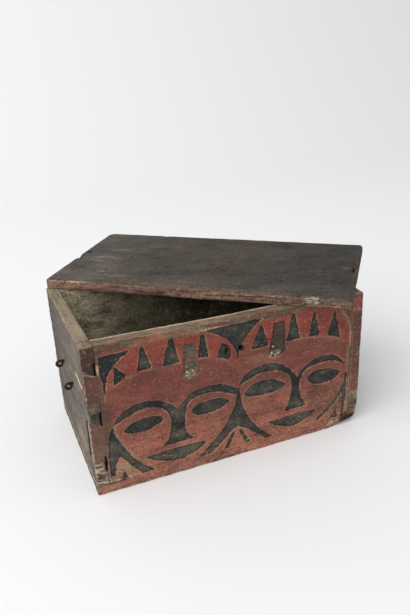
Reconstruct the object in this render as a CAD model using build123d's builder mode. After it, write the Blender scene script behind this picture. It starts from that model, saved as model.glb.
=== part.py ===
from build123d import *
from math import cos, radians, sin, sqrt
import os

os.makedirs("parts", exist_ok=True)

# Ditty box: a small chest of softwood planks with box-jointed corners, a nailed-on bottom,
# four iron eyes for rope beckets and one loose plank for a lid, lying turned on the rim.
# Millimetres. +X runs along the carved front, +Y to the back, +Z up.
# The origin is the centre of the underside, and heights are measured up from the underside.

# Carcase
box_length = 400
box_depth = 237
wall_height = 198
bottom_thickness = 14
front_thickness = 19
back_thickness = 19
end_thickness = 17

# The hand-cut rim runs up a little towards the front left corner
corner_rise = 5
front_rise_run = 200
end_rise_run = 130

# Box joints: heights at which one finger ends and the next begins.
# The end boards hold the lowest, the middle and the highest finger.
left_joint_heights = (50, 107, 139, 178)
right_joint_heights = (56, 111, 127, 183)

# Break at the foot of the front right corner
chip_length = 48
chip_height = 10
chip_depth = 30

# Lid
lid_length = 445
lid_depth = 236
lid_thickness = 14
lid_turn = -38.8
lid_corner_from_back = 6
lid_front_round = 4
lid_edge_round = 1.5
lid_corner_round = 12
lid_hole_diameter = 3.5
lid_hole_from_end = 7
lid_left_hole_from_front = 133
lid_left_notch_from_front = 107
lid_notch_length = 18
lid_notch_depth = 3
lid_right_hole_from_front = 140
lid_right_slot_from_front = 114
lid_slot_length = 20

# Iron eyes: a ring hanging from a shank that goes through the end board and is clinched inside
eye_spacing = 61
eye_height = 125
eye_rear_rise = 5
eye_wire = 3.0
eye_inner_diameter = 6.2
eye_hang = 3.5
eye_stand_off = 0.5
eye_shank_diameter = 3.6
eye_clinch_length = 12
eye_clearance = 0.05

# Carving on the front, sunk into the face
carving_depth = 1.5
mask_spacing = 178
mask_middle_x = 5
mask_foot = 50
nose_half_width = 19
nose_waist_half_width = 9
nose_waist_rise = 15
nose_root_half_width = 12
nose_root_rise = 44
brow_half_span = 85
brow_tip_rise = 49
brow_notch_rise = 51
brow_peak_x = 42
brow_peak_rise = 72
brow_inner_peak_x = 45
brow_width = 10
eye_slit_inner_x = 19
eye_slit_length = 54
eye_slit_rise = 41
eye_slit_opening = 19
mouth_half_length = 42
mouth_below_foot = 10
mouth_rise = 1
mouth_drop = 17

# Crown row: triangles standing in a line above the brows, and one lying on its side
crown_foot_below_rim = 46
crown_height = 33
crown_half_width = 10
crown_places = (-123, -88, -44, 38, 90, 122, 153)
crown_lying_x = -161
crown_lying_length = 15
crown_lying_half_width = 12

# Black ground round the two heads
ground_half_length = 178
ground_middle_x = 3
ground_below_rim = 12
corner_spandrel_length = 38
corner_spandrel_drop = 36
middle_spandrel_half_length = 32
middle_spandrel_drop = 46
spandrel_bulge = 5
cheek_top = 100
cheek_foot = 17
cheek_reach = 59
cheek_band = 14
cheek_fork_height = 48
cheek_bulge = 11
cheek_fork_bulge = 4
stroke_length = 24
stroke_width = 6
stroke_lean = 14
stroke_from_middle = 6

# Seats let in for the two lost hasps, and the staple legs left at their feet
seat_spacing = 126
seat_middle_x = 1
seat_width = 21
seat_height = 49
seat_below_rim = 20
seat_depth = 2
stub_diameter = 2.4
stub_length = 14
stub_spacing = 9
stub_above_seat_foot = 6
stub_projection = 1.8
stub_clearance = 0.05

# Lashing holes near the top of the front
lash_hole_diameter = 6
lash_hole_spacing = 18
lash_hole_middle_x = 1
lash_hole_below_rim = 44

# Nails
nail_diameter = 2.4
nail_head_diameter = 5
nail_head_thickness = 0.8
nail_length = 38
nail_clearance = 0.05
corner_nail_inset = 8.5
bottom_nail_margin = 60
bottom_nails_along = 4
bottom_nails_across = 2
front_nail_from_left = 54
front_nail_below_rim = 30
front_nail_length = 12

# Worked out from the sizes above
half_length = box_length / 2
half_depth = box_depth / 2
rim_height = bottom_thickness + wall_height
crown_foot = rim_height - crown_foot_below_rim
ground_top = rim_height - ground_below_rim
seat_top = rim_height - seat_below_rim
lash_hole_height = rim_height - lash_hole_below_rim
front_nail_height = rim_height - front_nail_below_rim
inner_half_length = half_length - end_thickness
front_face = Plane.XZ.offset(half_depth)
back_face = Plane.XZ.offset(-half_depth)
left_face = Plane.YZ.offset(-half_length)
right_face = Plane.YZ.offset(half_length)
nail_hole_diameter = nail_diameter + 2 * nail_clearance
nail_head_seat_diameter = nail_head_diameter + 2 * nail_clearance
nail_hole_length = nail_length + nail_clearance
foot_plane = Plane.XY.offset(bottom_thickness)
wall_nail_reach = nail_hole_length - bottom_thickness
eye_places = [(-eye_spacing / 2, eye_height), (eye_spacing / 2, eye_height + eye_rear_rise)]
eye_outer_diameter = eye_inner_diameter + 2 * eye_wire
ring_radius = (eye_inner_diameter + eye_wire) / 2
shank_to_ring_centre = sqrt(ring_radius**2 - eye_hang**2)
lid_along_dir = (cos(radians(lid_turn)), sin(radians(lid_turn)), 0)
lid_plane = Plane(
    origin=(-half_length, half_depth - lid_corner_from_back, rim_height),
    x_dir=lid_along_dir,
    z_dir=(0, 0, 1),
)
lid_across = Axis(lid_plane.origin, lid_plane.y_dir)


def finger_spans(joint_heights):
    """The height spans of the end board's fingers, then those of the long board's."""
    levels = (bottom_thickness, *joint_heights, rim_height + corner_rise)
    pairs = list(zip(levels[:-1], levels[1:]))
    return pairs[0::2], pairs[1::2]


left_end_spans, left_long_spans = finger_spans(left_joint_heights)
right_end_spans, right_long_spans = finger_spans(right_joint_heights)


def finger_profile(low_x, high_x, spans):
    """Rectangles between two uprights, one for each height span."""
    with BuildSketch() as profile:
        for low, high in spans:
            with Locations(((low_x + high_x) / 2, (low + high) / 2)):
                Rectangle(high_x - low_x, high - low)
    return profile.sketch


def board_profile(low_x, high_x, rise, rise_run):
    """Face of a wall board whose top edge runs up by a rise at its low end."""
    with BuildSketch() as profile:
        with BuildLine():
            Polyline(
                (low_x, bottom_thickness),
                (high_x, bottom_thickness),
                (high_x, rim_height),
                (low_x + rise_run, rim_height),
                (low_x, rim_height + rise),
                close=True,
            )
        make_face()
    return profile.sketch


def plain_profile(low_x, high_x):
    """Face of a wall board with a level top edge."""
    with BuildSketch() as profile:
        with Locations(((low_x + high_x) / 2, (bottom_thickness + rim_height) / 2)):
            Rectangle(high_x - low_x, wall_height)
    return profile.sketch


def almond(tip_a, tip_b, rise, drop):
    """Pointed oval between two tips on one level."""
    middle = (tip_a[0] + tip_b[0]) / 2
    with BuildSketch() as profile:
        with BuildLine():
            ThreePointArc(tip_a, (middle, tip_a[1] + rise), tip_b)
            ThreePointArc(tip_b, (middle, tip_a[1] - drop), tip_a)
        make_face()
    return profile.sketch


def brows_and_nose():
    """Two crescent brows that run together into a splayed nose, about the nose's foot."""
    inner_peak = (brow_inner_peak_x, brow_peak_rise - brow_width)
    waist = (nose_waist_half_width, nose_waist_rise)
    root = (nose_root_half_width, nose_root_rise)
    with BuildSketch() as profile:
        with BuildLine():
            ThreePointArc(
                (0, brow_notch_rise), (brow_peak_x, brow_peak_rise), (brow_half_span, brow_tip_rise)
            )
            ThreePointArc((brow_half_span, brow_tip_rise), inner_peak, root)
            ThreePointArc(root, waist, (nose_half_width, 0))
            Line((nose_half_width, 0), (0, 0))
            Line((0, 0), (0, brow_notch_rise))
        make_face()
        mirror(about=Plane.YZ)
    return profile.sketch


def mask():
    """One frontal face: brows, nose, eyes and mouth, about the nose's foot."""
    eye_outer_x = eye_slit_inner_x + eye_slit_length
    half_opening = eye_slit_opening / 2
    mouth_left = (-mouth_half_length, -mouth_below_foot)
    mouth_right = (mouth_half_length, -mouth_below_foot)
    eye_tips = ((eye_slit_inner_x, eye_slit_rise), (eye_outer_x, eye_slit_rise))
    with BuildSketch() as profile:
        add(brows_and_nose())
        add(almond(*eye_tips, half_opening, half_opening))
        mirror(about=Plane.YZ)
        add(almond(mouth_left, mouth_right, mouth_rise, mouth_drop))
    return profile.sketch


def crown_triangle():
    """One upright triangle of the crown row, about the middle of its base."""
    with BuildSketch() as profile:
        with BuildLine():
            Polyline(
                (-crown_half_width, 0), (crown_half_width, 0), (0, crown_height), close=True
            )
        make_face()
    return profile.sketch


def lying_triangle():
    """The crown triangle that lies on its side and points right."""
    with BuildSketch() as profile:
        with BuildLine():
            Polyline(
                (0, -crown_lying_half_width),
                (crown_lying_length, 0),
                (0, crown_lying_half_width),
                close=True,
            )
        make_face()
    return profile.sketch


def corner_spandrel():
    """Black corner over the left head, from the corner of the ground."""
    start = (corner_spandrel_length, 0)
    end = (0, -corner_spandrel_drop)
    bulge = (corner_spandrel_length / 2 - spandrel_bulge, spandrel_bulge - corner_spandrel_drop / 2)
    with BuildSketch() as profile:
        with BuildLine():
            ThreePointArc(start, bulge, end)
            Polyline(end, (0, 0), start)
        make_face()
    return profile.sketch


def middle_spandrel():
    """Black wedge between the tops of the two heads, from the middle of its top edge."""
    start = (middle_spandrel_half_length, 0)
    end = (0, -middle_spandrel_drop)
    bulge = (
        middle_spandrel_half_length / 2 - spandrel_bulge,
        spandrel_bulge - middle_spandrel_drop / 2,
    )
    with BuildSketch() as profile:
        with BuildLine():
            ThreePointArc(start, bulge, end)
            Polyline(end, (0, 0), start)
        make_face()
        mirror(about=Plane.YZ)
    return profile.sketch


def cheek():
    """Black band that follows a head's outline from its temple down and under its chin."""
    temple = (0, cheek_top)
    outer_foot = (cheek_reach, cheek_foot)
    inner_foot = (cheek_reach - cheek_band, cheek_foot)
    fork = (0, cheek_fork_height)
    outer_bulge = (cheek_reach / 2 - cheek_bulge, (cheek_top + cheek_foot) / 2)
    inner_bulge = (
        (cheek_reach - cheek_band) / 2,
        (cheek_fork_height + cheek_foot) / 2 + cheek_fork_bulge,
    )
    with BuildSketch() as profile:
        with BuildLine():
            ThreePointArc(temple, outer_bulge, outer_foot)
            Line(outer_foot, inner_foot)
            ThreePointArc(inner_foot, inner_bulge, fork)
            Line(fork, temple)
        make_face()
    return profile.sketch


def slanted_stroke():
    """Short slanted stroke under the fork of two cheeks, leaning out to the right."""
    with BuildSketch() as profile:
        with BuildLine():
            Polyline(
                (stroke_from_middle, cheek_foot + stroke_length),
                (stroke_from_middle + stroke_lean, cheek_foot),
                (stroke_from_middle + stroke_lean - stroke_width, cheek_foot),
                (stroke_from_middle - stroke_width / 2, cheek_foot + stroke_length - stroke_width),
                close=True,
            )
        make_face()
    return profile.sketch


mask_places = [(mask_middle_x + side * mask_spacing / 2, mask_foot) for side in (-1, 1)]
seat_places = [
    (seat_middle_x + side * seat_spacing / 2, seat_top - seat_height / 2) for side in (-1, 1)
]
stub_places = [
    (x + side * stub_spacing / 2, seat_top - seat_height + stub_above_seat_foot)
    for x, _ in seat_places
    for side in (-1, 1)
]
lash_hole_places = [
    (lash_hole_middle_x + side * lash_hole_spacing / 2, lash_hole_height) for side in (-1, 1)
]
front_nail_place = (front_nail_from_left - half_length, front_nail_height)


def corner_nail_places():
    """Nail places on a long board: the middle of each of its fingers."""
    nail_x = half_length - corner_nail_inset
    left = [(-nail_x, (low + high) / 2) for low, high in left_long_spans]
    right = [(nail_x, (low + high) / 2) for low, high in right_long_spans]
    return left + right


def spread(half_run, count):
    """Evenly spread places from minus to plus half a run."""
    return [half_run * (2 * index / (count - 1) - 1) for index in range(count)]


def bottom_nail_places():
    """Nail places on the underside, under the middle of each wall."""
    along = spread(half_length - bottom_nail_margin, bottom_nails_along)
    across = spread(half_depth - bottom_nail_margin, bottom_nails_across)
    front = [(x, front_thickness / 2 - half_depth) for x in along]
    back = [(x, half_depth - back_thickness / 2) for x in along]
    ends = [(side * (half_length - end_thickness / 2), y) for y in across for side in (-1, 1)]
    return front + back + ends


# Front board, with its carving, hasp seats, lashing holes and joint notches
with BuildPart() as front_board:
    with BuildSketch(front_face):
        add(board_profile(-half_length, half_length, corner_rise, front_rise_run))
    extrude(amount=-front_thickness)
    with BuildSketch(front_face):
        add(finger_profile(-half_length, -inner_half_length, left_end_spans))
        add(finger_profile(inner_half_length, half_length, right_end_spans))
    extrude(amount=-front_thickness, mode=Mode.SUBTRACT)
    with BuildSketch(front_face):
        with Locations(*mask_places):
            add(mask())
        with Locations(*[(x, crown_foot) for x in crown_places]):
            add(crown_triangle())
        with Locations((crown_lying_x, crown_foot)):
            add(lying_triangle())
        with Locations((-ground_half_length, ground_top)):
            add(corner_spandrel())
        with Locations((ground_middle_x, ground_top)):
            add(middle_spandrel())
        with Locations((-ground_half_length, 0), (ground_middle_x, 0)):
            add(cheek())
        with Locations((ground_middle_x, 0), (ground_half_length, 0)):
            add(mirror(cheek(), about=Plane.YZ, mode=Mode.PRIVATE))
        with Locations((ground_middle_x, 0)):
            add(slanted_stroke())
            add(mirror(slanted_stroke(), about=Plane.YZ, mode=Mode.PRIVATE))
    extrude(amount=-carving_depth, mode=Mode.SUBTRACT)
    with BuildSketch(front_face):
        with Locations(*seat_places):
            Rectangle(seat_width, seat_height)
    extrude(amount=-seat_depth, mode=Mode.SUBTRACT)
    with BuildSketch(front_face):
        with Locations(*lash_hole_places):
            Circle(lash_hole_diameter / 2)
    extrude(amount=-front_thickness, mode=Mode.SUBTRACT)
    with BuildSketch(front_face):
        with Locations(*stub_places):
            Circle(stub_diameter / 2 + stub_clearance)
    extrude(amount=-(seat_depth + stub_length - stub_projection + stub_clearance), mode=Mode.SUBTRACT)
    with BuildSketch(front_face):
        with Locations(*corner_nail_places()):
            Circle(nail_hole_diameter / 2)
    extrude(amount=-front_thickness, mode=Mode.SUBTRACT)
    with BuildSketch(front_face):
        with Locations(*corner_nail_places()):
            Circle(nail_head_seat_diameter / 2)
    extrude(amount=-nail_head_thickness, mode=Mode.SUBTRACT)
    with BuildSketch(front_face):
        with Locations(front_nail_place):
            Circle(nail_hole_diameter / 2)
    extrude(amount=-(front_nail_length + nail_clearance), mode=Mode.SUBTRACT)
    with BuildSketch(foot_plane):
        with Locations(*bottom_nail_places()):
            Circle(nail_hole_diameter / 2)
    extrude(amount=wall_nail_reach, mode=Mode.SUBTRACT)
front_board.part.label = "front_board"
export_step(front_board.part, "parts/front_board.step")

# Back board, plain, with the same joint notches
with BuildPart() as back_board:
    with BuildSketch(back_face):
        add(plain_profile(-half_length, half_length))
    extrude(amount=back_thickness)
    with BuildSketch(back_face):
        add(finger_profile(-half_length, -inner_half_length, left_end_spans))
        add(finger_profile(inner_half_length, half_length, right_end_spans))
    extrude(amount=back_thickness, mode=Mode.SUBTRACT)
    with BuildSketch(back_face):
        with Locations(*corner_nail_places()):
            Circle(nail_hole_diameter / 2)
    extrude(amount=back_thickness, mode=Mode.SUBTRACT)
    with BuildSketch(back_face):
        with Locations(*corner_nail_places()):
            Circle(nail_head_seat_diameter / 2)
    extrude(amount=nail_head_thickness, mode=Mode.SUBTRACT)
    with BuildSketch(foot_plane):
        with Locations(*bottom_nail_places()):
            Circle(nail_hole_diameter / 2)
    extrude(amount=wall_nail_reach, mode=Mode.SUBTRACT)
back_board.part.label = "back_board"
export_step(back_board.part, "parts/back_board.step")

# End boards, whose fingers pass through the notches of the front and back boards
for side in ("left", "right"):
    inward = 1 if side == "left" else -1
    outer_face = left_face if side == "left" else right_face
    long_spans = left_long_spans if side == "left" else right_long_spans
    rise = corner_rise if side == "left" else 0
    with BuildPart() as end_board:
        with BuildSketch(outer_face):
            add(board_profile(-half_depth, half_depth, rise, end_rise_run))
        extrude(amount=inward * end_thickness)
        with BuildSketch(outer_face):
            add(finger_profile(-half_depth, front_thickness - half_depth, long_spans))
            add(finger_profile(half_depth - back_thickness, half_depth, long_spans))
        extrude(amount=inward * end_thickness, mode=Mode.SUBTRACT)
        with BuildSketch(front_face):
            with Locations(*corner_nail_places()):
                Circle(nail_hole_diameter / 2)
        extrude(amount=-nail_hole_length, mode=Mode.SUBTRACT)
        with BuildSketch(back_face):
            with Locations(*corner_nail_places()):
                Circle(nail_hole_diameter / 2)
        extrude(amount=nail_hole_length, mode=Mode.SUBTRACT)
        with BuildSketch(foot_plane):
            with Locations(*bottom_nail_places()):
                Circle(nail_hole_diameter / 2)
        extrude(amount=wall_nail_reach, mode=Mode.SUBTRACT)
        with BuildSketch(outer_face):
            with Locations(*eye_places):
                Circle(eye_shank_diameter / 2 + eye_clearance)
        extrude(amount=inward * end_thickness, mode=Mode.SUBTRACT)
    end_board.part.label = f"{side}_board"
    export_step(end_board.part, f"parts/{side}_board.step")

# Bottom board, broken away at the foot of the front right corner
with BuildPart() as bottom_board:
    with BuildSketch(Plane.XY):
        Rectangle(box_length, box_depth)
    extrude(amount=bottom_thickness)
    with BuildSketch(front_face):
        with BuildLine():
            Polyline(
                (half_length - chip_length, 0),
                (half_length, 0),
                (half_length, chip_height),
                close=True,
            )
        make_face()
    extrude(amount=-chip_depth, mode=Mode.SUBTRACT)
    with BuildSketch(Plane.XY):
        with Locations(*bottom_nail_places()):
            Circle(nail_hole_diameter / 2)
    extrude(amount=bottom_thickness, mode=Mode.SUBTRACT)
    with BuildSketch(Plane.XY):
        with Locations(*bottom_nail_places()):
            Circle(nail_head_seat_diameter / 2)
    extrude(amount=nail_head_thickness, mode=Mode.SUBTRACT)
bottom_board.part.label = "bottom_board"
export_step(bottom_board.part, "parts/bottom_board.step")

# Lid: one loose plank, lying turned on the rim, its front left corner on the left end board
with BuildPart() as lid_board:
    with BuildSketch(lid_plane) as lid_outline:
        Rectangle(lid_length, lid_depth, align=(Align.MIN, Align.MIN))
        fillet(lid_outline.vertices().sort_by(Axis.Y)[-2:].sort_by(Axis.X)[0], lid_corner_round)
    extrude(amount=lid_thickness)
    top_edges = lid_board.edges().group_by(Axis.Z)[-1]
    front_edge = top_edges.sort_by(lid_across)[0]
    back_edge = top_edges.filter_by(GeomType.LINE).sort_by(lid_across)[-1]
    fillet(front_edge, lid_front_round)
    fillet(back_edge, lid_edge_round)
    with BuildSketch(lid_plane):
        with Locations(
            (lid_hole_from_end, lid_left_hole_from_front),
            (lid_length - lid_hole_from_end, lid_right_hole_from_front),
        ):
            Circle(lid_hole_diameter / 2)
        with Locations((lid_length - lid_hole_from_end, lid_right_slot_from_front)):
            SlotOverall(lid_slot_length, lid_hole_diameter, rotation=90)
        with Locations((0, lid_left_notch_from_front)):
            Ellipse(lid_notch_depth, lid_notch_length / 2)
    extrude(amount=lid_thickness, mode=Mode.SUBTRACT)
lid_board.part.label = "lid_board"
export_step(lid_board.part, "parts/lid_board.step")

# Becket eyes, one ring, shank and clinched leg for each
for side in ("left", "right"):
    outward = -1 if side == "left" else 1
    wall_x = outward * half_length
    for place, (eye_y, eye_z) in zip(("front", "rear"), eye_places):
        ring_from_wall = eye_stand_off + eye_outer_diameter / 2
        ring_x = wall_x + outward * ring_from_wall
        inner_x = outward * inner_half_length
        ring_centre = (ring_x, eye_y, eye_z - eye_hang)
        ring_plane = Plane(origin=ring_centre, x_dir=(1, 0, 0), z_dir=(0, -1, 0))
        shank_plane = Plane(origin=(inner_x, eye_y, eye_z), x_dir=(0, 1, 0), z_dir=(outward, 0, 0))
        leg_foot = (inner_x, eye_y, eye_z - eye_shank_diameter / 2)
        with BuildPart() as eye:
            with BuildSketch(Plane(origin=ring_plane.origin, x_dir=(1, 0, 0), z_dir=(0, 0, 1))):
                with Locations((ring_radius, 0)):
                    Circle(eye_wire / 2)
            revolve(axis=Axis(ring_plane.origin, (0, 1, 0)))
            with BuildSketch(shank_plane):
                Circle(eye_shank_diameter / 2)
            extrude(amount=end_thickness + ring_from_wall - shank_to_ring_centre)
            with BuildSketch(Plane(leg_foot)):
                with Locations((-outward * eye_shank_diameter / 2, 0)):
                    Rectangle(eye_shank_diameter, eye_shank_diameter)
            extrude(amount=eye_clinch_length)
        eye.part.label = f"{side}_{place}_eye"
        export_step(eye.part, f"parts/{side}_{place}_eye.step")

# Broken staple legs at the feet of the hasp seats
with BuildPart() as staple_stubs:
    with BuildSketch(front_face.offset(stub_projection - seat_depth)):
        with Locations(*stub_places):
            Circle(stub_diameter / 2)
    extrude(amount=-stub_length)
staple_stubs.part.label = "staple_stubs"
export_step(staple_stubs.part, "parts/staple_stubs.step")

# The lone nail at the top left of the carving
with BuildPart() as front_nail:
    with BuildSketch(front_face):
        with Locations(front_nail_place):
            Circle(nail_diameter / 2)
    extrude(amount=-front_nail_length)
    with BuildSketch(front_face):
        with Locations(front_nail_place):
            Circle(nail_head_diameter / 2)
    extrude(amount=nail_head_thickness)
front_nail.part.label = "front_nail"
export_step(front_nail.part, "parts/front_nail.step")

# Nails through the fingers of the long boards into the end boards
with BuildPart() as corner_nails:
    for face, inward in ((front_face, -1), (back_face, 1)):
        with BuildSketch(face):
            with Locations(*corner_nail_places()):
                Circle(nail_diameter / 2)
        extrude(amount=inward * nail_length)
        with BuildSketch(face):
            with Locations(*corner_nail_places()):
                Circle(nail_head_diameter / 2)
        extrude(amount=inward * nail_head_thickness)
corner_nails.part.label = "corner_nails"
export_step(corner_nails.part, "parts/corner_nails.step")

# Nails up through the bottom board into the walls
with BuildPart() as bottom_nails:
    with BuildSketch(Plane.XY):
        with Locations(*bottom_nail_places()):
            Circle(nail_diameter / 2)
    extrude(amount=nail_length)
    with BuildSketch(Plane.XY):
        with Locations(*bottom_nail_places()):
            Circle(nail_head_diameter / 2)
    extrude(amount=nail_head_thickness)
bottom_nails.part.label = "bottom_nails"
export_step(bottom_nails.part, "parts/bottom_nails.step")
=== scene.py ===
from math import cos, pi, radians, sin

import bpy
import numpy as np
from mathutils import Matrix, Vector


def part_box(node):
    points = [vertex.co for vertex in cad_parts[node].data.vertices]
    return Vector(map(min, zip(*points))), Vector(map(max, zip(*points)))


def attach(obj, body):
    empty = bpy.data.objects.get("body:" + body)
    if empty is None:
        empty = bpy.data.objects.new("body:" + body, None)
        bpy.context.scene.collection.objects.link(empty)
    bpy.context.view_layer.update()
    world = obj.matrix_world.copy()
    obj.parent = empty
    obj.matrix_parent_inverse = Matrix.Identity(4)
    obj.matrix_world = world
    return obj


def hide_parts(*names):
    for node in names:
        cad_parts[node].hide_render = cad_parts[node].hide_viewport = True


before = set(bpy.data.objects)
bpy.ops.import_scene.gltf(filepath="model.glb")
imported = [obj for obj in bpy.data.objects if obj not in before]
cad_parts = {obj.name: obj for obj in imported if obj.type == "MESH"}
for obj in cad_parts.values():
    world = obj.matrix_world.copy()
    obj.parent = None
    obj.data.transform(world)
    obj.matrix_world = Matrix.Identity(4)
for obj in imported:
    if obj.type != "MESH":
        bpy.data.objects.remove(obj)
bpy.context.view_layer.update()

# An old ditty box: six worn planks, carved and painted on the front, with iron eyes on both
# ends. Board sizes are millimetres on each board's own outer face and are read from model.glb.
# u runs along a board's grain, v across it and w into the wood from the outer face.

MM = 0.001


def extent(node):
    """Lowest and highest corner of a CAD node, in millimetres."""
    low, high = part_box(node)
    return np.array(low) / MM, np.array(high) / MM


front_low, front_high = extent("front_board")
back_low, back_high = extent("back_board")
left_low, left_high = extent("left_board")
right_low, right_high = extent("right_board")
bottom_low, bottom_high = extent("bottom_board")
lid_low, lid_high = extent("lid_board")

box_length = bottom_high[0] - bottom_low[0]
box_depth = bottom_high[1] - bottom_low[1]
foot = bottom_high[2]
rim = right_high[2]
corner_rise = left_high[2] - rim
front_thickness = front_high[1] - front_low[1]
back_thickness = back_high[1] - back_low[1]
end_thickness = left_high[0] - left_low[0]
lid_thickness = lid_high[2] - lid_low[2]

# Finger joints: heights where a finger ends. End boards hold the lowest, middle and highest.
LEFT_JOINTS = (50, 107, 139, 178)
RIGHT_JOINTS = (56, 111, 127, 183)
LEANING_JOINTS = (107, 178)
JOINT_LEAN = 0.42
# The walls rise towards the left front corner: over what run, and from how far below the rim
FRONT_RISE_RUN = 200
END_RISE_RUN = 130
RISE_REACH = 45

LID_TURN = radians(38.8)
LID_DEPTH = 236
LID_CORNER_FROM_BACK = 6
lid_length = (lid_high[0] - lid_low[0] - LID_DEPTH * sin(LID_TURN)) / cos(LID_TURN)

# Carving
CARVING_DEPTH = 1.5
SEAT_DEPTH = 2.0
HOLE_HEIGHT = 168
HOLES_FROM_LEFT = (192, 210)
HOLE_RADIUS = 3.0

FAR = 9.0


# ---------------------------------------------------------------- noise and outlines


def lattice_value(i, j, seed):
    """A fixed random value from -1 to 1 for each pair of whole numbers."""
    mixed = (i.astype(np.int64) * 374761393 + j.astype(np.int64) * 668265263 + seed * 974634777)
    mixed = mixed & 0xFFFFFFFF
    mixed = ((mixed ^ (mixed >> 13)) * 1274126177) & 0xFFFFFFFF
    return ((mixed ^ (mixed >> 16)) & 0xFFFF) / 32767.5 - 1


def noise(x, y, seed):
    """Smooth noise from -1 to 1 with one bump for each unit."""
    x, y = np.broadcast_arrays(np.asarray(x, float), np.asarray(y, float))
    i, j = np.floor(x), np.floor(y)
    s, t = x - i, y - j
    s, t = s * s * (3 - 2 * s), t * t * (3 - 2 * t)
    low = lattice_value(i, j, seed) * (1 - s) + lattice_value(i + 1, j, seed) * s
    high = lattice_value(i, j + 1, seed) * (1 - s) + lattice_value(i + 1, j + 1, seed) * s
    return low * (1 - t) + high * t


def rough(x, y, seed, octaves=3):
    """Noise with finer and weaker noise on top."""
    total = 0
    for octave in range(octaves):
        total = total + noise(x * 2**octave, y * 2**octave, seed + octave) / 2**octave
    return total / 1.6


def ease(value, low, high):
    """0 below low, 1 above high and a smooth step between. It also runs down, from high to low."""
    t = np.clip((value - low) / (high - low), 0, 1)
    return t * t * (3 - 2 * t)


def between(value, low, high, soft=1.0):
    """1 between low and high, with soft ends."""
    return ease(value, low - soft, low + soft) * ease(value, high + soft, high - soft)


def fading(distance, reach):
    """1 at no distance, falling evenly to 0 at the reach."""
    return np.clip(1 - distance / reach, 0, 1)


def oval_reach(x, y, centre, size):
    """How far points lie from a centre, where 1 is the edge of its half sizes."""
    return np.hypot((x - centre[0]) / size[0], (y - centre[1]) / size[1])


def spot(x, y, centre, size):
    """A soft round spot: 1 at its centre and 0 outside its half sizes."""
    return ease(oval_reach(x, y, centre, size), 1, 0.35)


def curve_through(points, steps=5):
    """A smooth line through a few points, by the Catmull-Rom formula."""
    p = np.array(points, float)
    if len(p) < 3:
        return p
    p = np.vstack([2 * p[0] - p[1], p, 2 * p[-1] - p[-2]])
    t = np.linspace(0, 1, steps, endpoint=False)[:, None]
    spans = []
    for a, b, c, d in zip(p[:-3], p[1:-2], p[2:-1], p[3:]):
        bend = (2 * a - 5 * b + 4 * c - d) * t + (3 * b - a - 3 * c + d) * t * t
        spans.append(b + ((c - a) + bend) * t / 2)
    return np.vstack(spans + [p[-2:-1]])


def outline(*strokes):
    """A closed outline of smooth strokes. Each sets out from the sharp tip that ends the one before."""
    tips = [strokes[-1][-1]] + [stroke[-1] for stroke in strokes]
    return np.vstack([curve_through([tip, *stroke])[:-1] for tip, stroke in zip(tips, strokes)])


def corners(*points):
    """A closed outline of straight sides."""
    return np.array(points, float)


def square_distance(x, y, start, end):
    """The square of the distance from each point to a straight side."""
    dx, dy = end - start
    t = np.clip(((x - start[0]) * dx + (y - start[1]) * dy) / (dx * dx + dy * dy), 0, 1)
    return (x - start[0] - t * dx) ** 2 + (y - start[1] - t * dy) ** 2


def distance_inside(x, y, ring):
    """Millimetres from each point to a closed outline, less than 0 inside it."""
    result = np.full(x.shape, FAR)
    low, high = ring.min(axis=0) - FAR, ring.max(axis=0) + FAR
    near = (x > low[0]) & (x < high[0]) & (y > low[1]) & (y < high[1])
    px, py = x[near], y[near]
    best = np.full(px.shape, FAR * FAR)
    inside = np.zeros(px.shape, bool)
    for start, end in zip(ring, np.roll(ring, -1, axis=0)):
        best = np.minimum(best, square_distance(px, py, start, end))
        (ax, ay), (bx, by) = start, end
        if by != ay:
            inside ^= ((ay > py) != (by > py)) & (px < ax + (py - ay) * (bx - ax) / (by - ay))
    reach = np.sqrt(best)
    result[near] = np.where(inside, -reach, reach)
    return result


def distance_to_line(x, y, points):
    """Millimetres from each point to an open smooth line."""
    line = curve_through(points)
    best = np.full(x.shape, FAR * FAR)
    for start, end in zip(line[:-1], line[1:]):
        best = np.minimum(best, square_distance(x, y, start, end))
    return np.sqrt(best)


def rectangle(low_u, high_u, low_v, high_v):
    """The outline of an upright rectangle."""
    return corners((low_u, low_v), (high_u, low_v), (high_u, high_v), (low_u, high_v))


def nearest(x, y, rings):
    """Signed distance to the nearest of several outlines."""
    return np.min([distance_inside(x, y, ring) for ring in rings], axis=0)


# ---------------------------------------------------------------- planks


class Face:
    """A board's outer face: a corner, the ways along and across it, and the way into the wood."""

    def __init__(self, corner, along, across, inward):
        self.corner = np.array(corner, float)
        self.axes = np.array([along, across, inward], float)
        self.mirrored = np.linalg.det(self.axes) > 0

    def place(self, points):
        """Points in u, v and w as points of the row frame, in metres."""
        return (self.corner + points @ self.axes) * MM


def grid_lines(low, high, step, breaks, group):
    """Grid lines that are finer at both ends and beside each break, in groups of equal spans."""
    fine = (0, 0.6, 1.4, 2.6)
    marks = [low + offset for offset in fine] + [high - offset for offset in fine]
    for place in breaks:
        marks += [place - 1.0, place, place + 1.0]
    marks = sorted(set(marks))
    lines = []
    for start, end in zip(marks[:-1], marks[1:]):
        spans = 1 if end - start <= step * 1.2 else int(np.ceil((end - start) / step))
        lines.append(np.linspace(start, end, spans, endpoint=False))
    lines = np.append(np.concatenate(lines), high)
    short = -(len(lines) - 1) % group
    for _ in range(short):
        widest = int(np.argmax(np.diff(lines)))
        lines = np.insert(lines, widest + 1, (lines[widest] + lines[widest + 1]) / 2)
    return lines


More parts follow.
